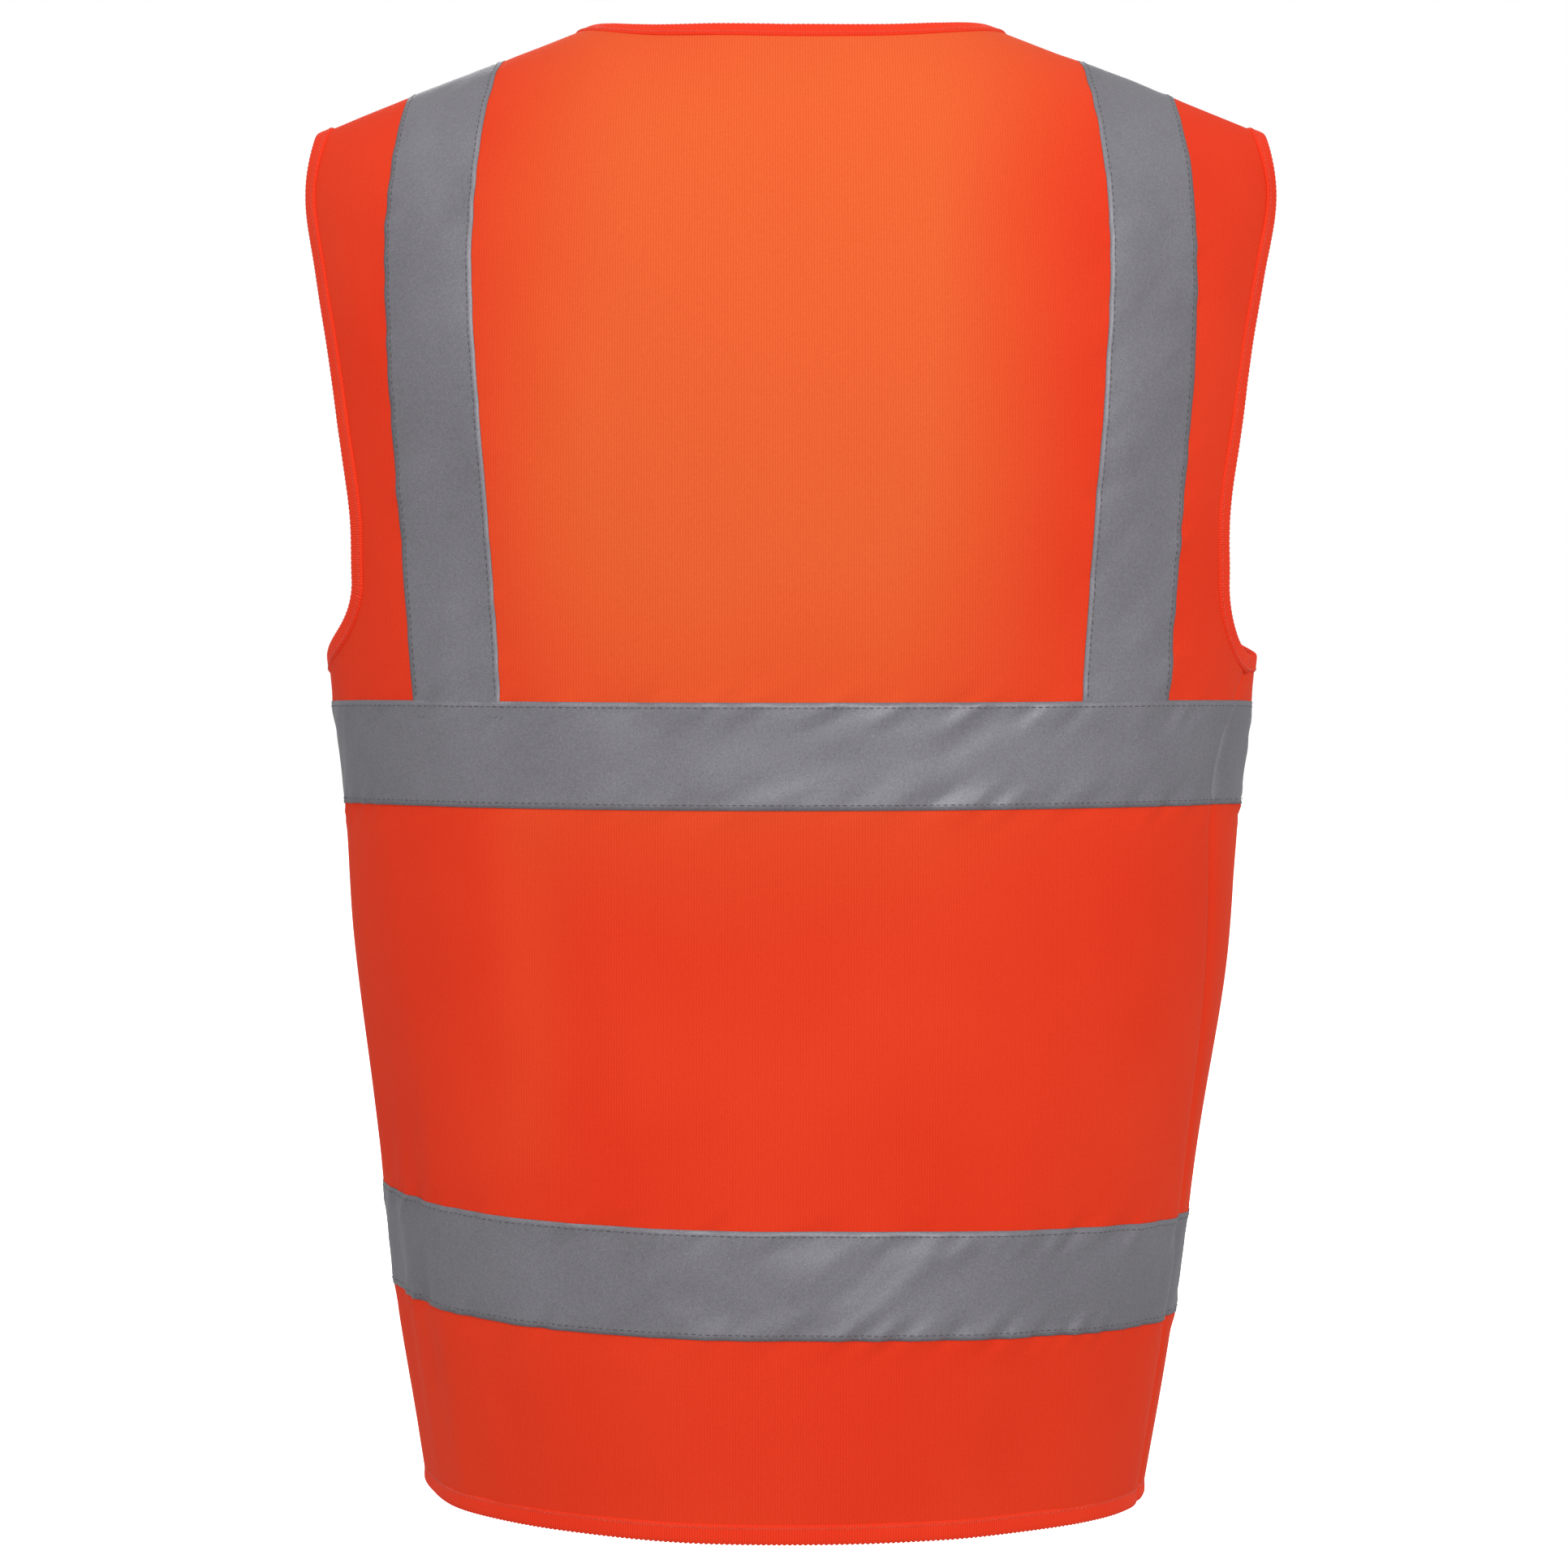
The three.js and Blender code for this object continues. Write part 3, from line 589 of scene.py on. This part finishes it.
def inward_from(hole):
    hole = np.asarray(hole, float)

    def direction(p, n, tangent):
        inward = np.cross(tangent, n)
        away = np.sign(np.sum(inward * (p - hole), 1, keepdims=True))
        return inward * away

    return direction


# How far in from the edge, and how far off the middle of the cloth.
BINDING_SECTION = np.array([
    (8.0, 0.26), (7.6, 0.74), (6.2, 1.02), (4.0, 1.08), (1.6, 1.16), (0.0, 1.08), (-0.9, 0.66),
    (-1.25, 0.0), (-0.9, -0.66), (0.0, -1.08), (1.6, -1.16), (4.0, -1.08), (6.2, -1.02),
    (7.6, -0.74), (8.0, -0.26),
])
PICOT_PITCH = 2.4


def binding(name, points, normals, hole, material, closed=False):
    """A knitted tape folded over an edge, with a small scalloped outer rim."""
    p, n, tangent, at = even_path(points, normals, BINDING_STEP, closed)
    inward = inward_from(hole)(p, n, tangent)
    depth, height = BINDING_SECTION.T
    outer = np.clip(-depth, 0, None) / 1.25
    picot = 0.38 * np.sin(2 * math.pi * at / PICOT_PITCH)
    swell = 1 + 0.07 * soft_noise(at / 9.0, 0 * at, 4)
    shape = (
        p[:, None]
        + inward[:, None] * (depth[None] - outer[None] * picot[:, None])[..., None]
        + n[:, None] * (height[None] * swell[:, None])[..., None]
    )
    count, size = shape.shape[:2]
    i = np.arange(count if closed else count - 1)[:, None]
    j = (i + 1) % count
    k = np.arange(size)[None]
    m = (k + 1) % size
    faces = np.stack([i * size + k, i * size + m, j * size + m, j * size + k], -1).reshape(-1, 4)
    flat = np.stack(np.broadcast_arrays(at[:, None], np.cumsum(np.ones(size))[None] * 1.1, 0.0), -1)
    vertices = shape.reshape(-1, 3)
    centre = np.repeat((p + inward * 2.5), size, axis=0)
    faces = outward_faces(vertices, faces, vertices - centre)
    polygons = faces.tolist()
    if not closed:
        flipped = faces[0][1] != 1
        start = list(range(size))
        end = [(count - 1) * size + x for x in range(size)]
        polygons += [start if flipped else start[::-1], end[::-1] if flipped else end]
    return make_object(name, vertices, polygons, material, flat.reshape(-1, 3))


# ---------- materials ----------

FLUORESCENT_PAINTED_GLOW = 0.24  # painted glow: a steady red emission that shines under any lamp or none, standing in for the extra red that the fluorescent dye sends out
CLOTH_THROUGH = 0.2  # the share of the light that comes through the cloth from behind


def socket(shader, name, value):
    shader.inputs[name].default_value = value


class Look:
    """A material with a Principled shader and short calls for the nodes around it."""

    def __init__(self, name, roughness, **values):
        self.material = bpy.data.materials.new(name)
        self.material.use_nodes = True
        self.nodes = self.material.node_tree.nodes
        self.links = self.material.node_tree.links
        self.shader = self.nodes["Principled BSDF"]
        socket(self.shader, "Roughness", roughness)
        for label, value in values.items():
            socket(self.shader, label.replace("_", " "), value)
        flat = self.nodes.new("ShaderNodeAttribute")
        flat.attribute_name = "flat"
        split = self.nodes.new("ShaderNodeSeparateXYZ")
        self.links.new(flat.outputs["Vector"], split.inputs[0])
        self.along, self.across = split.outputs[0], split.outputs[1]

    def connect(self, value, target):
        if isinstance(value, (int, float)):
            target.default_value = value
        else:
            self.links.new(value, target)

    def math(self, operation, a, b=0.0):
        node = self.nodes.new("ShaderNodeMath")
        node.operation = operation
        self.connect(a, node.inputs[0])
        self.connect(b, node.inputs[1])
        return node.outputs[0]

    def wave(self, value, pitch):
        """From 0 to 1 and back in every pitch."""
        turned = self.math("MULTIPLY", value, 2 * math.pi / pitch)
        return self.math("ADD", self.math("MULTIPLY", self.math("SINE", turned), 0.5), 0.5)

    def noise(self, scale, detail=3.0, vector=None):
        node = self.nodes.new("ShaderNodeTexNoise")
        socket(node, "Scale", scale)
        socket(node, "Detail", detail)
        if vector is not None:
            self.links.new(vector, node.inputs["Vector"])
        return node.outputs["Fac"]

    def attribute(self, name):
        node = self.nodes.new("ShaderNodeAttribute")
        node.attribute_name = name
        return node.outputs["Fac"]

    def glow(self, colour, strength):
        socket(self.shader, "Emission Color", (*colour, 1))
        socket(self.shader, "Emission Strength", strength)

    def object_place(self):
        return self.nodes.new("ShaderNodeTexCoord").outputs["Object"]

    def ramp(self, factor, *stops):
        node = self.nodes.new("ShaderNodeValToRGB")
        ends = node.color_ramp.elements
        for element, (place, colour) in zip(ends, (stops[0], stops[-1])):
            element.position = place
            element.color = (*colour, 1)
        for place, colour in stops[1:-1]:
            ends.new(place).color = (*colour, 1)
        self.links.new(factor, node.inputs[0])
        return node.outputs[0]

    def mix(self, factor, a, b, blend="MIX"):
        node = self.nodes.new("ShaderNodeMix")
        node.data_type = "RGBA"
        node.blend_type = blend
        self.connect(factor, node.inputs[0])
        for value, target in ((a, node.inputs[6]), (b, node.inputs[7])):
            if isinstance(value, tuple):
                target.default_value = (*value, 1)
            else:
                self.links.new(value, target)
        return node.outputs[2]

    def colour(self, value):
        self.links.new(value, self.shader.inputs["Base Color"])

    def bump(self, height, strength, distance_mm):
        node = self.nodes.new("ShaderNodeBump")
        socket(node, "Strength", strength)
        socket(node, "Distance", distance_mm * MM)
        self.links.new(height, node.inputs["Height"])
        self.links.new(node.outputs["Normal"], self.shader.inputs["Normal"])
        return node.outputs["Normal"]

    def let_light_through(self, colour, share, normal):
        """Mixes in light from behind, as a thin cloth lets it through."""
        through = self.nodes.new("ShaderNodeBsdfTranslucent")
        self.links.new(colour, through.inputs["Color"])
        self.links.new(normal, through.inputs["Normal"])
        blend = self.nodes.new("ShaderNodeMixShader")
        socket(blend, "Fac", share)
        self.links.new(self.shader.outputs[0], blend.inputs[1])
        self.links.new(through.outputs[0], blend.inputs[2])
        output = self.nodes["Material Output"]
        self.links.new(blend.outputs[0], output.inputs["Surface"])


def knit_look():
    """Fluorescent warp knit: fine upright ribs with small loops between them. Where one layer alone
    hangs in front of an opening, painted light makes the colour lighter and orange, standing in for the light
    that comes through."""
    look = Look("knit_cloth", 0.85, Sheen_Weight=0.08, Sheen_Roughness=0.5, Specular_IOR_Level=0.12)
    socket(look.shader, "Sheen Tint", (1.0, 0.4, 0.2, 1))
    ribs = look.wave(look.along, RIB_PITCH)
    loops = look.wave(look.math("ADD", look.across, look.math("MULTIPLY", look.along, 0.35)), 0.9)
    place = look.object_place()
    patches = look.noise(9.0, 2.0, place)
    fine = look.noise(900.0, 2.0, place)
    tone = look.ramp(patches, (0.3, (0.53, 0.033, 0.0095)), (0.7, (0.56, 0.045, 0.0135)))
    # painted light: the colour turns lighter orange where the back is marked as lit through the neck opening
    tone = look.mix(look.attribute("painted_light_through"), tone, (0.56, 0.117, 0.028))
    lines = look.ramp(ribs, (0.0, (0.92, 0.80, 0.80)), (0.6, (1.0, 1.0, 1.0)))
    tone = look.mix(1.0, tone, lines, "MULTIPLY")
    tone = look.mix(1.0, tone, look.ramp(fine, (0.3, (0.95, 0.88, 0.88)), (0.7, (1, 1, 1))), "MULTIPLY")
    look.colour(tone)
    # painted glow: red emission standing in for the fluorescent dye's extra red
    look.glow((1.0, 0.035, 0.008), FLUORESCENT_PAINTED_GLOW)
    relief = look.math("ADD", look.math("MULTIPLY", ribs, 0.7), look.math("MULTIPLY", loops, 0.3))
    normal = look.bump(relief, 0.4, 0.16)
    look.let_light_through(tone, CLOTH_THROUGH, normal)
    return look.material


def tape_look():
    """Retroreflective tape: a grey cloth face full of tiny glass beads."""
    look = Look("reflective_tape", 0.55, Metallic=0.4, Specular_IOR_Level=0.5)
    place = look.object_place()
    beads = look.noise(2600.0, 2.0, place)
    grain = look.noise(700.0, 3.0, place)
    cloudy = look.noise(14.0, 3.0, place)
    tone = look.ramp(cloudy, (0.3, (0.168, 0.163, 0.183)), (0.7, (0.198, 0.193, 0.216)))
    rough = look.ramp(grain, (0.35, (0.9, 0.9, 0.9)), (0.65, (1.0, 1.0, 1.0)))
    tone = look.mix(1.0, tone, rough, "MULTIPLY")
    sparkle = look.ramp(beads, (0.42, (0.78, 0.78, 0.78)), (0.6, (1.12, 1.12, 1.12)))
    tone = look.mix(1.0, tone, sparkle, "MULTIPLY")
    look.colour(tone)
    look.bump(look.math("ADD", beads, grain), 0.3, 0.08)
    return look.material


def binding_look():
    """Ribbed knit binding: ribs run across the tape."""
    look = Look("binding_knit", 0.85, Sheen_Weight=0.08, Sheen_Roughness=0.5, Specular_IOR_Level=0.12)
    socket(look.shader, "Sheen Tint", (1.0, 0.4, 0.2, 1))
    ribs = look.wave(look.along, 1.2)
    place = look.object_place()
    tone = look.ramp(look.noise(16.0, 2.0, place), (0.3, (0.52, 0.025, 0.007)), (0.7, (0.55, 0.034, 0.010)))
    tone = look.mix(1.0, tone, look.ramp(ribs, (0.0, (0.8, 0.7, 0.7)), (0.6, (1.0, 1.0, 1.0))), "MULTIPLY")
    look.colour(tone)
    # painted glow: red emission standing in for the fluorescent dye's extra red
    look.glow((1.0, 0.03, 0.007), FLUORESCENT_PAINTED_GLOW)
    look.bump(ribs, 0.6, 0.3)
    return look.material


def thread_look(name, dark, light):
    look = Look(name, 0.6, Sheen_Weight=0.2, Specular_IOR_Level=0.35)
    place = look.object_place()
    look.colour(look.ramp(look.noise(420.0, 2.0, place), (0.35, dark), (0.65, light)))
    look.bump(look.noise(3500.0, 2.0, place), 0.4, 0.05)
    return look.material


def pile_look(name, dark, light, scale):
    """Hook or loop tape: a rough face of short fibres."""
    look = Look(name, 0.85, Sheen_Weight=0.3, Specular_IOR_Level=0.3)
    place = look.object_place()
    fibres = look.noise(scale, 4.0, place)
    look.colour(look.ramp(fibres, (0.35, dark), (0.65, light)))
    look.bump(fibres, 0.9, 0.6)
    return look.material


def label_look():
    look = Look("label_satin", 0.4, Sheen_Weight=0.2, Specular_IOR_Level=0.5)
    threads = look.wave(look.across, 0.35)
    look.colour(look.ramp(threads, (0.0, (0.68, 0.66, 0.61)), (1.0, (0.8, 0.78, 0.73))))
    look.bump(threads, 0.3, 0.05)
    return look.material


CLOTH = knit_look()
TAPE = tape_look()
BINDING = binding_look()
GREY_THREAD = thread_look("grey_thread", (0.042, 0.039, 0.040), (0.095, 0.089, 0.090))
ORANGE_THREAD = thread_look("orange_thread", (0.54, 0.037, 0.011), (0.62, 0.06, 0.019))
LABEL = label_look()
HOOK = pile_look("hook_pile", (0.02, 0.02, 0.022), (0.10, 0.10, 0.11), 1300.0)
LOOP = pile_look("loop_pile", (0.03, 0.03, 0.032), (0.12, 0.12, 0.13), 700.0)

# ---------- placing the pieces of the fronts ---


def ride_front(piece):
    """Bakes the placement of a piece of a front into its mesh."""
    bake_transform(piece)


SIDE_NAMES = {LEFT: "left", RIGHT: "right"}

# ---------- rows and columns ----------


def spread(low, high, step):
    return np.linspace(low, high, max(2, int(round((high - low) / step)) + 1))


def high_levels():
    """Rows above the underarm, closer together at the armhole's bottom and near the ridge."""
    bottom = 0.14 * (1 - np.cos(np.linspace(0, np.pi / 2, 16)))
    middle = np.linspace(0.14, 0.8, 64)[1:]
    ridge = 0.8 + 0.2 * (1 - (1 - np.linspace(0, 1, 40)) ** 3.2)[1:]
    return UNDERARM_LEVEL * (1 - np.concatenate([bottom, middle, ridge]))


LOW_LEVELS = spread(HEM_LEVEL, UNDERARM_LEVEL, GRID_STEP)
HIGH_LEVELS = high_levels()
ALL_LEVELS = np.concatenate([LOW_LEVELS, HIGH_LEVELS[1:]])
CORNER_LEVELS = HEM_LEVEL + FRONT_CORNER_RADIUS * (1 - np.cos(np.linspace(0, np.pi / 2, 14)))
FRONT_LEVELS = np.concatenate([CORNER_LEVELS, ALL_LEVELS[ALL_LEVELS > CORNER_LEVELS[-1] + 1]])
HALF_COLUMNS = np.concatenate([
    np.linspace(0, 1, 34)[:-1], np.linspace(1, 2, 20)[:-1], np.linspace(2, 3, 21)[:-1], np.linspace(3, 4, 27),
])
BACK_COLUMNS = np.concatenate([-HALF_COLUMNS[:0:-1], HALF_COLUMNS])
FRONT_COLUMNS = np.concatenate([
    np.linspace(0, 1, 42)[:-1], np.linspace(1, 2, 24)[:-1], np.linspace(2, 3, 21)[:-1], np.linspace(3, 4, 27),
])

# ---------- pieces ----------


def back_panel():
    piece = plate(
        "back_cloth", BACK, None, BACK_COLUMNS, ALL_LEVELS, -CLOTH_HALF, CLOTH_HALF, CLOTH,
        centre=len(HALF_COLUMNS) - 1,
    )
    paint_light_through(piece)
    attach(piece, "root")
    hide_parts("back_panel")
    return piece


def front_panel(side):
    name = SIDE_NAMES[side]
    piece = plate(
        f"front_cloth_{name}", FRONT, side, FRONT_COLUMNS, FRONT_LEVELS, -CLOTH_HALF, CLOTH_HALF, CLOTH,
    )
    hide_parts(f"front_side_{name}", f"front_flap_{name}")
    ride_front(piece)
    return piece


def band_levels(top):
    return spread(top - TAPE_WIDTH, top, 2.5)


def back_band(name, top):
    piece = plate(f"back_tape_{name}", BACK, None, BACK_COLUMNS, band_levels(top), TAPE_OFF, TAPE_TOP, TAPE)
    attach(piece, "root")
    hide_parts(f"back_band_{name}")
    return piece


TAPE_END_COLUMN = 0.045  # the tapes end here, covered by the binding of the front edge


def front_band(name, top, side):
    columns = FRONT_COLUMNS[FRONT_COLUMNS > TAPE_END_COLUMN]
    piece = plate(
        f"front_tape_{name}_{SIDE_NAMES[side]}", FRONT, side, columns, band_levels(top),
        TAPE_OFF, TAPE_TOP, TAPE,
    )
    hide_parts(*[f"front_{part}_band_{name}_{SIDE_NAMES[side]}" for part in ("side", "flap")])
    ride_front(piece)
    return piece


BRACE_START = UPPER_BAND_TOP - 9
BRACE_LEVELS = np.concatenate([spread(BRACE_START, UNDERARM_LEVEL, 3.0), HIGH_LEVELS[1:]])
HIGHEST_BRACE_LEVEL = UNDERARM_LEVEL * 1e-7  # a hair below the shoulder ridge


def brace(half, side):
    where = "back" if half == BACK else "front"
    levels = np.minimum(BRACE_LEVELS, HIGHEST_BRACE_LEVEL)
    piece = plate(
        f"{where}_brace_tape_{SIDE_NAMES[side]}", half, side, np.linspace(2, 3, 21), levels,
        TAPE_OFF - 0.05, TAPE_TOP - 0.06, TAPE,
    )
    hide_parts(f"{where}_brace_{SIDE_NAMES[side]}")
    if half == BACK:
        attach(piece, "root")
    else:
        ride_front(piece)
    return piece


def level_run(half, side, level, first, last, count=400):
    return cloth_frame(half, side, np.linspace(first, last, count), np.full(count, level))


def back_level_run(level):
    """From the right side seam to the left one."""
    column = np.linspace(-4.0, 4.0, 900)
    return cloth_frame(BACK, np.where(column < 0, RIGHT, LEFT), np.abs(column), np.full(900, level))


def column_run(half, side, column, levels):
    return cloth_frame(half, side, np.full(len(levels), column), levels)


def tape_stitches():
    """Two rows along every tape, a little in from its edges."""
    length, radius = 2.5, 0.24
    height = TAPE_TOP + 0.02
    root_runs = []
    front_runs = {LEFT: [], RIGHT: []}
    for top in (UPPER_BAND_TOP, LOWER_BAND_TOP):
        for level in (top - STITCH_INSET, top - TAPE_WIDTH + STITCH_INSET):
            root_runs.append(stitch_run(*back_level_run(level), height))
            for side in (LEFT, RIGHT):
                front_runs[side].append(stitch_run(*level_run(FRONT, side, level, 0.07, 4), height))
    brace_levels = BRACE_LEVELS[(BRACE_LEVELS > UPPER_BAND_TOP + 1) & (BRACE_LEVELS < -0.01)]
    inset = STITCH_INSET / TAPE_WIDTH
    for side in (LEFT, RIGHT):
        for column in (2 + inset, 3 - inset):
            root_runs.append(stitch_run(*column_run(BACK, side, column, brace_levels), height))
            front_runs[side].append(stitch_run(*column_run(FRONT, side, column, brace_levels), height))
    piece = thread_stitches("back_tape_stitches", root_runs, length, radius, GREY_THREAD)
    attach(piece, "root")
    for side in (LEFT, RIGHT):
        piece = thread_stitches(
            f"front_tape_stitches_{SIDE_NAMES[side]}", front_runs[side], length, radius, GREY_THREAD,
        )
        ride_front(piece)


def neck_path():
    """Round the back neck between the neck points."""
    column = np.sin(np.linspace(-np.pi / 2, np.pi / 2, 400))
    return cloth_frame(BACK, np.where(column < 0, RIGHT, LEFT), np.abs(column), np.zeros(400))


def front_edge_path(side):
    """From the neck point down the neck edge and the front edge, round the corner and to the
    side seam along the hem."""
    neck = NECK_V_LEVEL * np.linspace(0, 1, 500)[1:] ** 3
    straight = spread(CORNER_LEVELS[-1], NECK_V_LEVEL - 2, 3.0)[::-1]
    edge = column_run(FRONT, side, 0.0, np.concatenate([neck, straight, CORNER_LEVELS[-2::-1]]))
    hem = level_run(FRONT, side, HEM_LEVEL, 0.004, 4, 500)
    return joined(edge, hem)


def armhole_path(side):
    back = column_run(BACK, side, 4.0, HIGH_LEVELS)
    front = column_run(FRONT, side, 4.0, HIGH_LEVELS[-2:0:-1])
    return joined(back, front)


# Points that each bound edge faces, so that its binding folds over the other way.
NECK_HOLE = (0.0, -30.0, 20.0)
BELOW = (0.0, 0.0, 5 * HEM_LEVEL)


def arm_hole(side):
    return (240.0 * side, 0.0, -190.0)


def beside(side):
    return (-1000.0 * side, 0.0, 2 * HEM_LEVEL)


def bindings():
    """Each bound edge with the zigzag that holds it, on the outside and the inside."""
    edges = [
        ("neck_bound_edge", neck_path(), NECK_HOLE, False, None, "neck_binding"),
        ("back_hem_bound_edge", back_level_run(HEM_LEVEL), BELOW, False, None, "hem_binding"),
    ]
    for side in (LEFT, RIGHT):
        name = SIDE_NAMES[side]
        edges.append((
            f"front_bound_edge_{name}", front_edge_path(side), beside(side), False, side,
            f"front_edge_binding_{name}",
        ))
        edges.append((
            f"armhole_bound_edge_{name}", armhole_path(side), arm_hole(side), True, None,
            f"armhole_binding_{name}",
        ))
    for name, path, hole, closed, flap_side, node in edges:
        band = binding(name, *path, hole, BINDING, closed)
        inward = inward_from(hole)
        runs = [zigzag_run(*path, inward, face * ZIGZAG_HEIGHT, closed) for face in (1, -1)]
        threads = thread_stitches(f"{name}_zigzag", runs, 2.1, 0.19, ORANGE_THREAD)
        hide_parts(node)
        for piece in (band, threads):
            if flap_side is None:
                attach(piece, "root")
            else:
                ride_front(piece)


def column_from_centre(side, level, distance):
    start = column_angle(FRONT, np.array(side), np.array(0.0), np.array(level))
    end = column_angle(FRONT, np.array(side), np.array(1.0), np.array(level))
    return float((angle_at_x(distance, level) - start) / (end - start))


PATCH_UNDER, PATCH_FACE = 0.3, 1.4  # the patch's two faces, off the middle of the cloth
PATCH_STITCH_INSET = 2.0
PATCH_STITCH_PITCH = 2.6


def patch_stitches(name, side, facing, ends, levels):
    """A row along each of the patch's four edges, on the patch and on the cloth behind it."""
    inset = PATCH_STITCH_INSET * (ends[1] - ends[0]) / PATCH_WIDTH
    left, right = ends[0] + inset, ends[1] - inset
    low, high = levels[0] + PATCH_STITCH_INSET, levels[-1] - PATCH_STITCH_INSET
    heights = spread(low, high, 2.0)
    rows = [level_run(FRONT, side, row, left, right, 40) for row in (low, high)]
    rows += [column_run(FRONT, side, column, heights) for column in (left, right)]
    runs = [
        stitch_run(*row, face * off, PATCH_STITCH_PITCH)
        for row in rows
        for face, off in ((-facing, CLOTH_HALF + 0.05), (facing, PATCH_FACE + 0.02))
    ]
    return thread_stitches(name, runs, 2.0, 0.2, ORANGE_THREAD)


def closure_patches():
    """Hooks inside the left front, which lies over, and loops outside the right one."""
    for place, level in PATCH_LEVELS.items():
        for kind, side, facing, look in (("hook", LEFT, -1, HOOK), ("loop", RIGHT, 1, LOOP)):
            levels = spread(level - PATCH_HEIGHT / 2, level + PATCH_HEIGHT / 2, 2.5)
            ends = [column_from_centre(side, level, d) for d in (-PATCH_WIDTH / 2, PATCH_WIDTH / 2)]
            near, far = sorted((facing * PATCH_UNDER, facing * PATCH_FACE))
            piece = plate(
                f"{kind}_patch_{place}_pile", FRONT, side, np.linspace(*ends, 12), levels, near, far, look,
            )
            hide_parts(f"{kind}_patch_{place}")
            threads = patch_stitches(f"{kind}_patch_{place}_stitches", side, facing, ends, levels)
            for made in (piece, threads):
                ride_front(made)


LABEL_COLUMN = 0.13
LABEL_BOTTOM, LABEL_TOP = -40.0, -9.0
LABEL_INNER, LABEL_OUTER = -1.35, -1.0  # its two faces, inside the middle of the cloth


def neck_label():
    piece = plate(
        "neck_label_satin", BACK, None, np.linspace(-LABEL_COLUMN, LABEL_COLUMN, 31),
        spread(LABEL_BOTTOM, LABEL_TOP, 1.5), LABEL_INNER, LABEL_OUTER, LABEL,
    )
    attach(piece, "root")
    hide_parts("neck_label")
    return piece


def sewn_on(tape):
    """Reads the tape's flat attribute; nothing more is done with it."""
    flat = np.empty(len(tape.data.vertices) * 3, np.float32)
    tape.data.attributes["flat"].data.foreach_get("vector", flat)


# ---------- stage, light and camera ----------

CAMERA_HEIGHT = -375.0
CAMERA_PLACE_Y = 1735.0
CAMERA_PLACE_X = 3.4
FRAME_WIDTH_AT_BACK = 724.7
BACK_PLANE_Y = 139.0


def camera():
    data = bpy.data.cameras.new("camera")
    data.sensor_width = 36.0
    data.lens = 36.0 * (CAMERA_PLACE_Y - BACK_PLANE_Y) / FRAME_WIDTH_AT_BACK
    eye = bpy.data.objects.new("camera", data)
    eye.location = Vector((CAMERA_PLACE_X, CAMERA_PLACE_Y, CAMERA_HEIGHT)) * MM
    eye.rotation_euler = (math.radians(90), 0, math.radians(180))
    bpy.context.scene.collection.objects.link(eye)
    bpy.context.scene.camera = eye


def area_light(name, place, target, size, power):
    data = bpy.data.lights.new(name, "AREA")
    data.shape = "DISK"
    data.size = size
    data.energy = power
    lamp = bpy.data.objects.new(name, data)
    lamp.location = place
    lamp.rotation_euler = (Vector(target) - Vector(place)).to_track_quat("-Z", "Y").to_euler()
    bpy.context.scene.collection.objects.link(lamp)


def studio():
    scene = bpy.context.scene
    scene.view_settings.view_transform = "Standard"
    world = bpy.data.worlds.new("studio")
    scene.world = world
    world.use_nodes = True
    nodes, links = world.node_tree.nodes, world.node_tree.links
    soft = nodes["Background"]
    socket(soft, "Color", (1, 1, 1, 1))
    socket(soft, "Strength", 0.68)
    plain = nodes.new("ShaderNodeBackground")
    socket(plain, "Color", (1, 1, 1, 1))
    socket(plain, "Strength", 1.0)
    seen = nodes.new("ShaderNodeLightPath")
    blend = nodes.new("ShaderNodeMixShader")
    links.new(seen.outputs["Is Camera Ray"], blend.inputs[0])
    links.new(soft.outputs[0], blend.inputs[1])
    links.new(plain.outputs[0], blend.inputs[2])
    links.new(blend.outputs[0], nodes["World Output"].inputs[0])

    middle = (0, 0, -0.3)
    area_light("key", (-0.5, 2.2, 0.9), middle, 0.7, 44)
    area_light("fill", (1.0, 1.3, 1.8), (0.15, 0.1, -0.1), 0.7, 13)
    area_light("front_light", (0.2, -2.2, 0.5), middle, 1.6, 34)

    floor_look = Look("floor_paint", 0.9)
    pale = floor_look.ramp(floor_look.noise(3.0), (0.0, (0.78, 0.78, 0.78)), (1.0, (0.82, 0.82, 0.82)))
    floor_look.colour(pale)
    floor_look.glow((1, 1, 1), 0.95)
    size, height = 60.0, (HEM_LEVEL - 60) * MM
    mesh = bpy.data.meshes.new("floor")
    corners = [(-size, -size, height), (size, -size, height), (size, size, height), (-size, size, height)]
    mesh.from_pydata(corners, [], [(0, 1, 2, 3)])
    mesh.materials.append(floor_look.material)
    floor = bpy.data.objects.new("floor", mesh)
    floor.visible_diffuse = False
    floor.visible_glossy = False
    scene.collection.objects.link(floor)


# ---------- the vest ----------

camera()
back = back_panel()
fronts = {side: front_panel(side) for side in (LEFT, RIGHT)}
for top, name in ((UPPER_BAND_TOP, "upper"), (LOWER_BAND_TOP, "lower")):
    sewn_on(back_band(name, top))
    for side in (LEFT, RIGHT):
        sewn_on(front_band(name, top, side))
for side in (LEFT, RIGHT):
    sewn_on(brace(BACK, side))
    sewn_on(brace(FRONT, side))
tape_stitches()
bindings()
closure_patches()
neck_label()
studio()
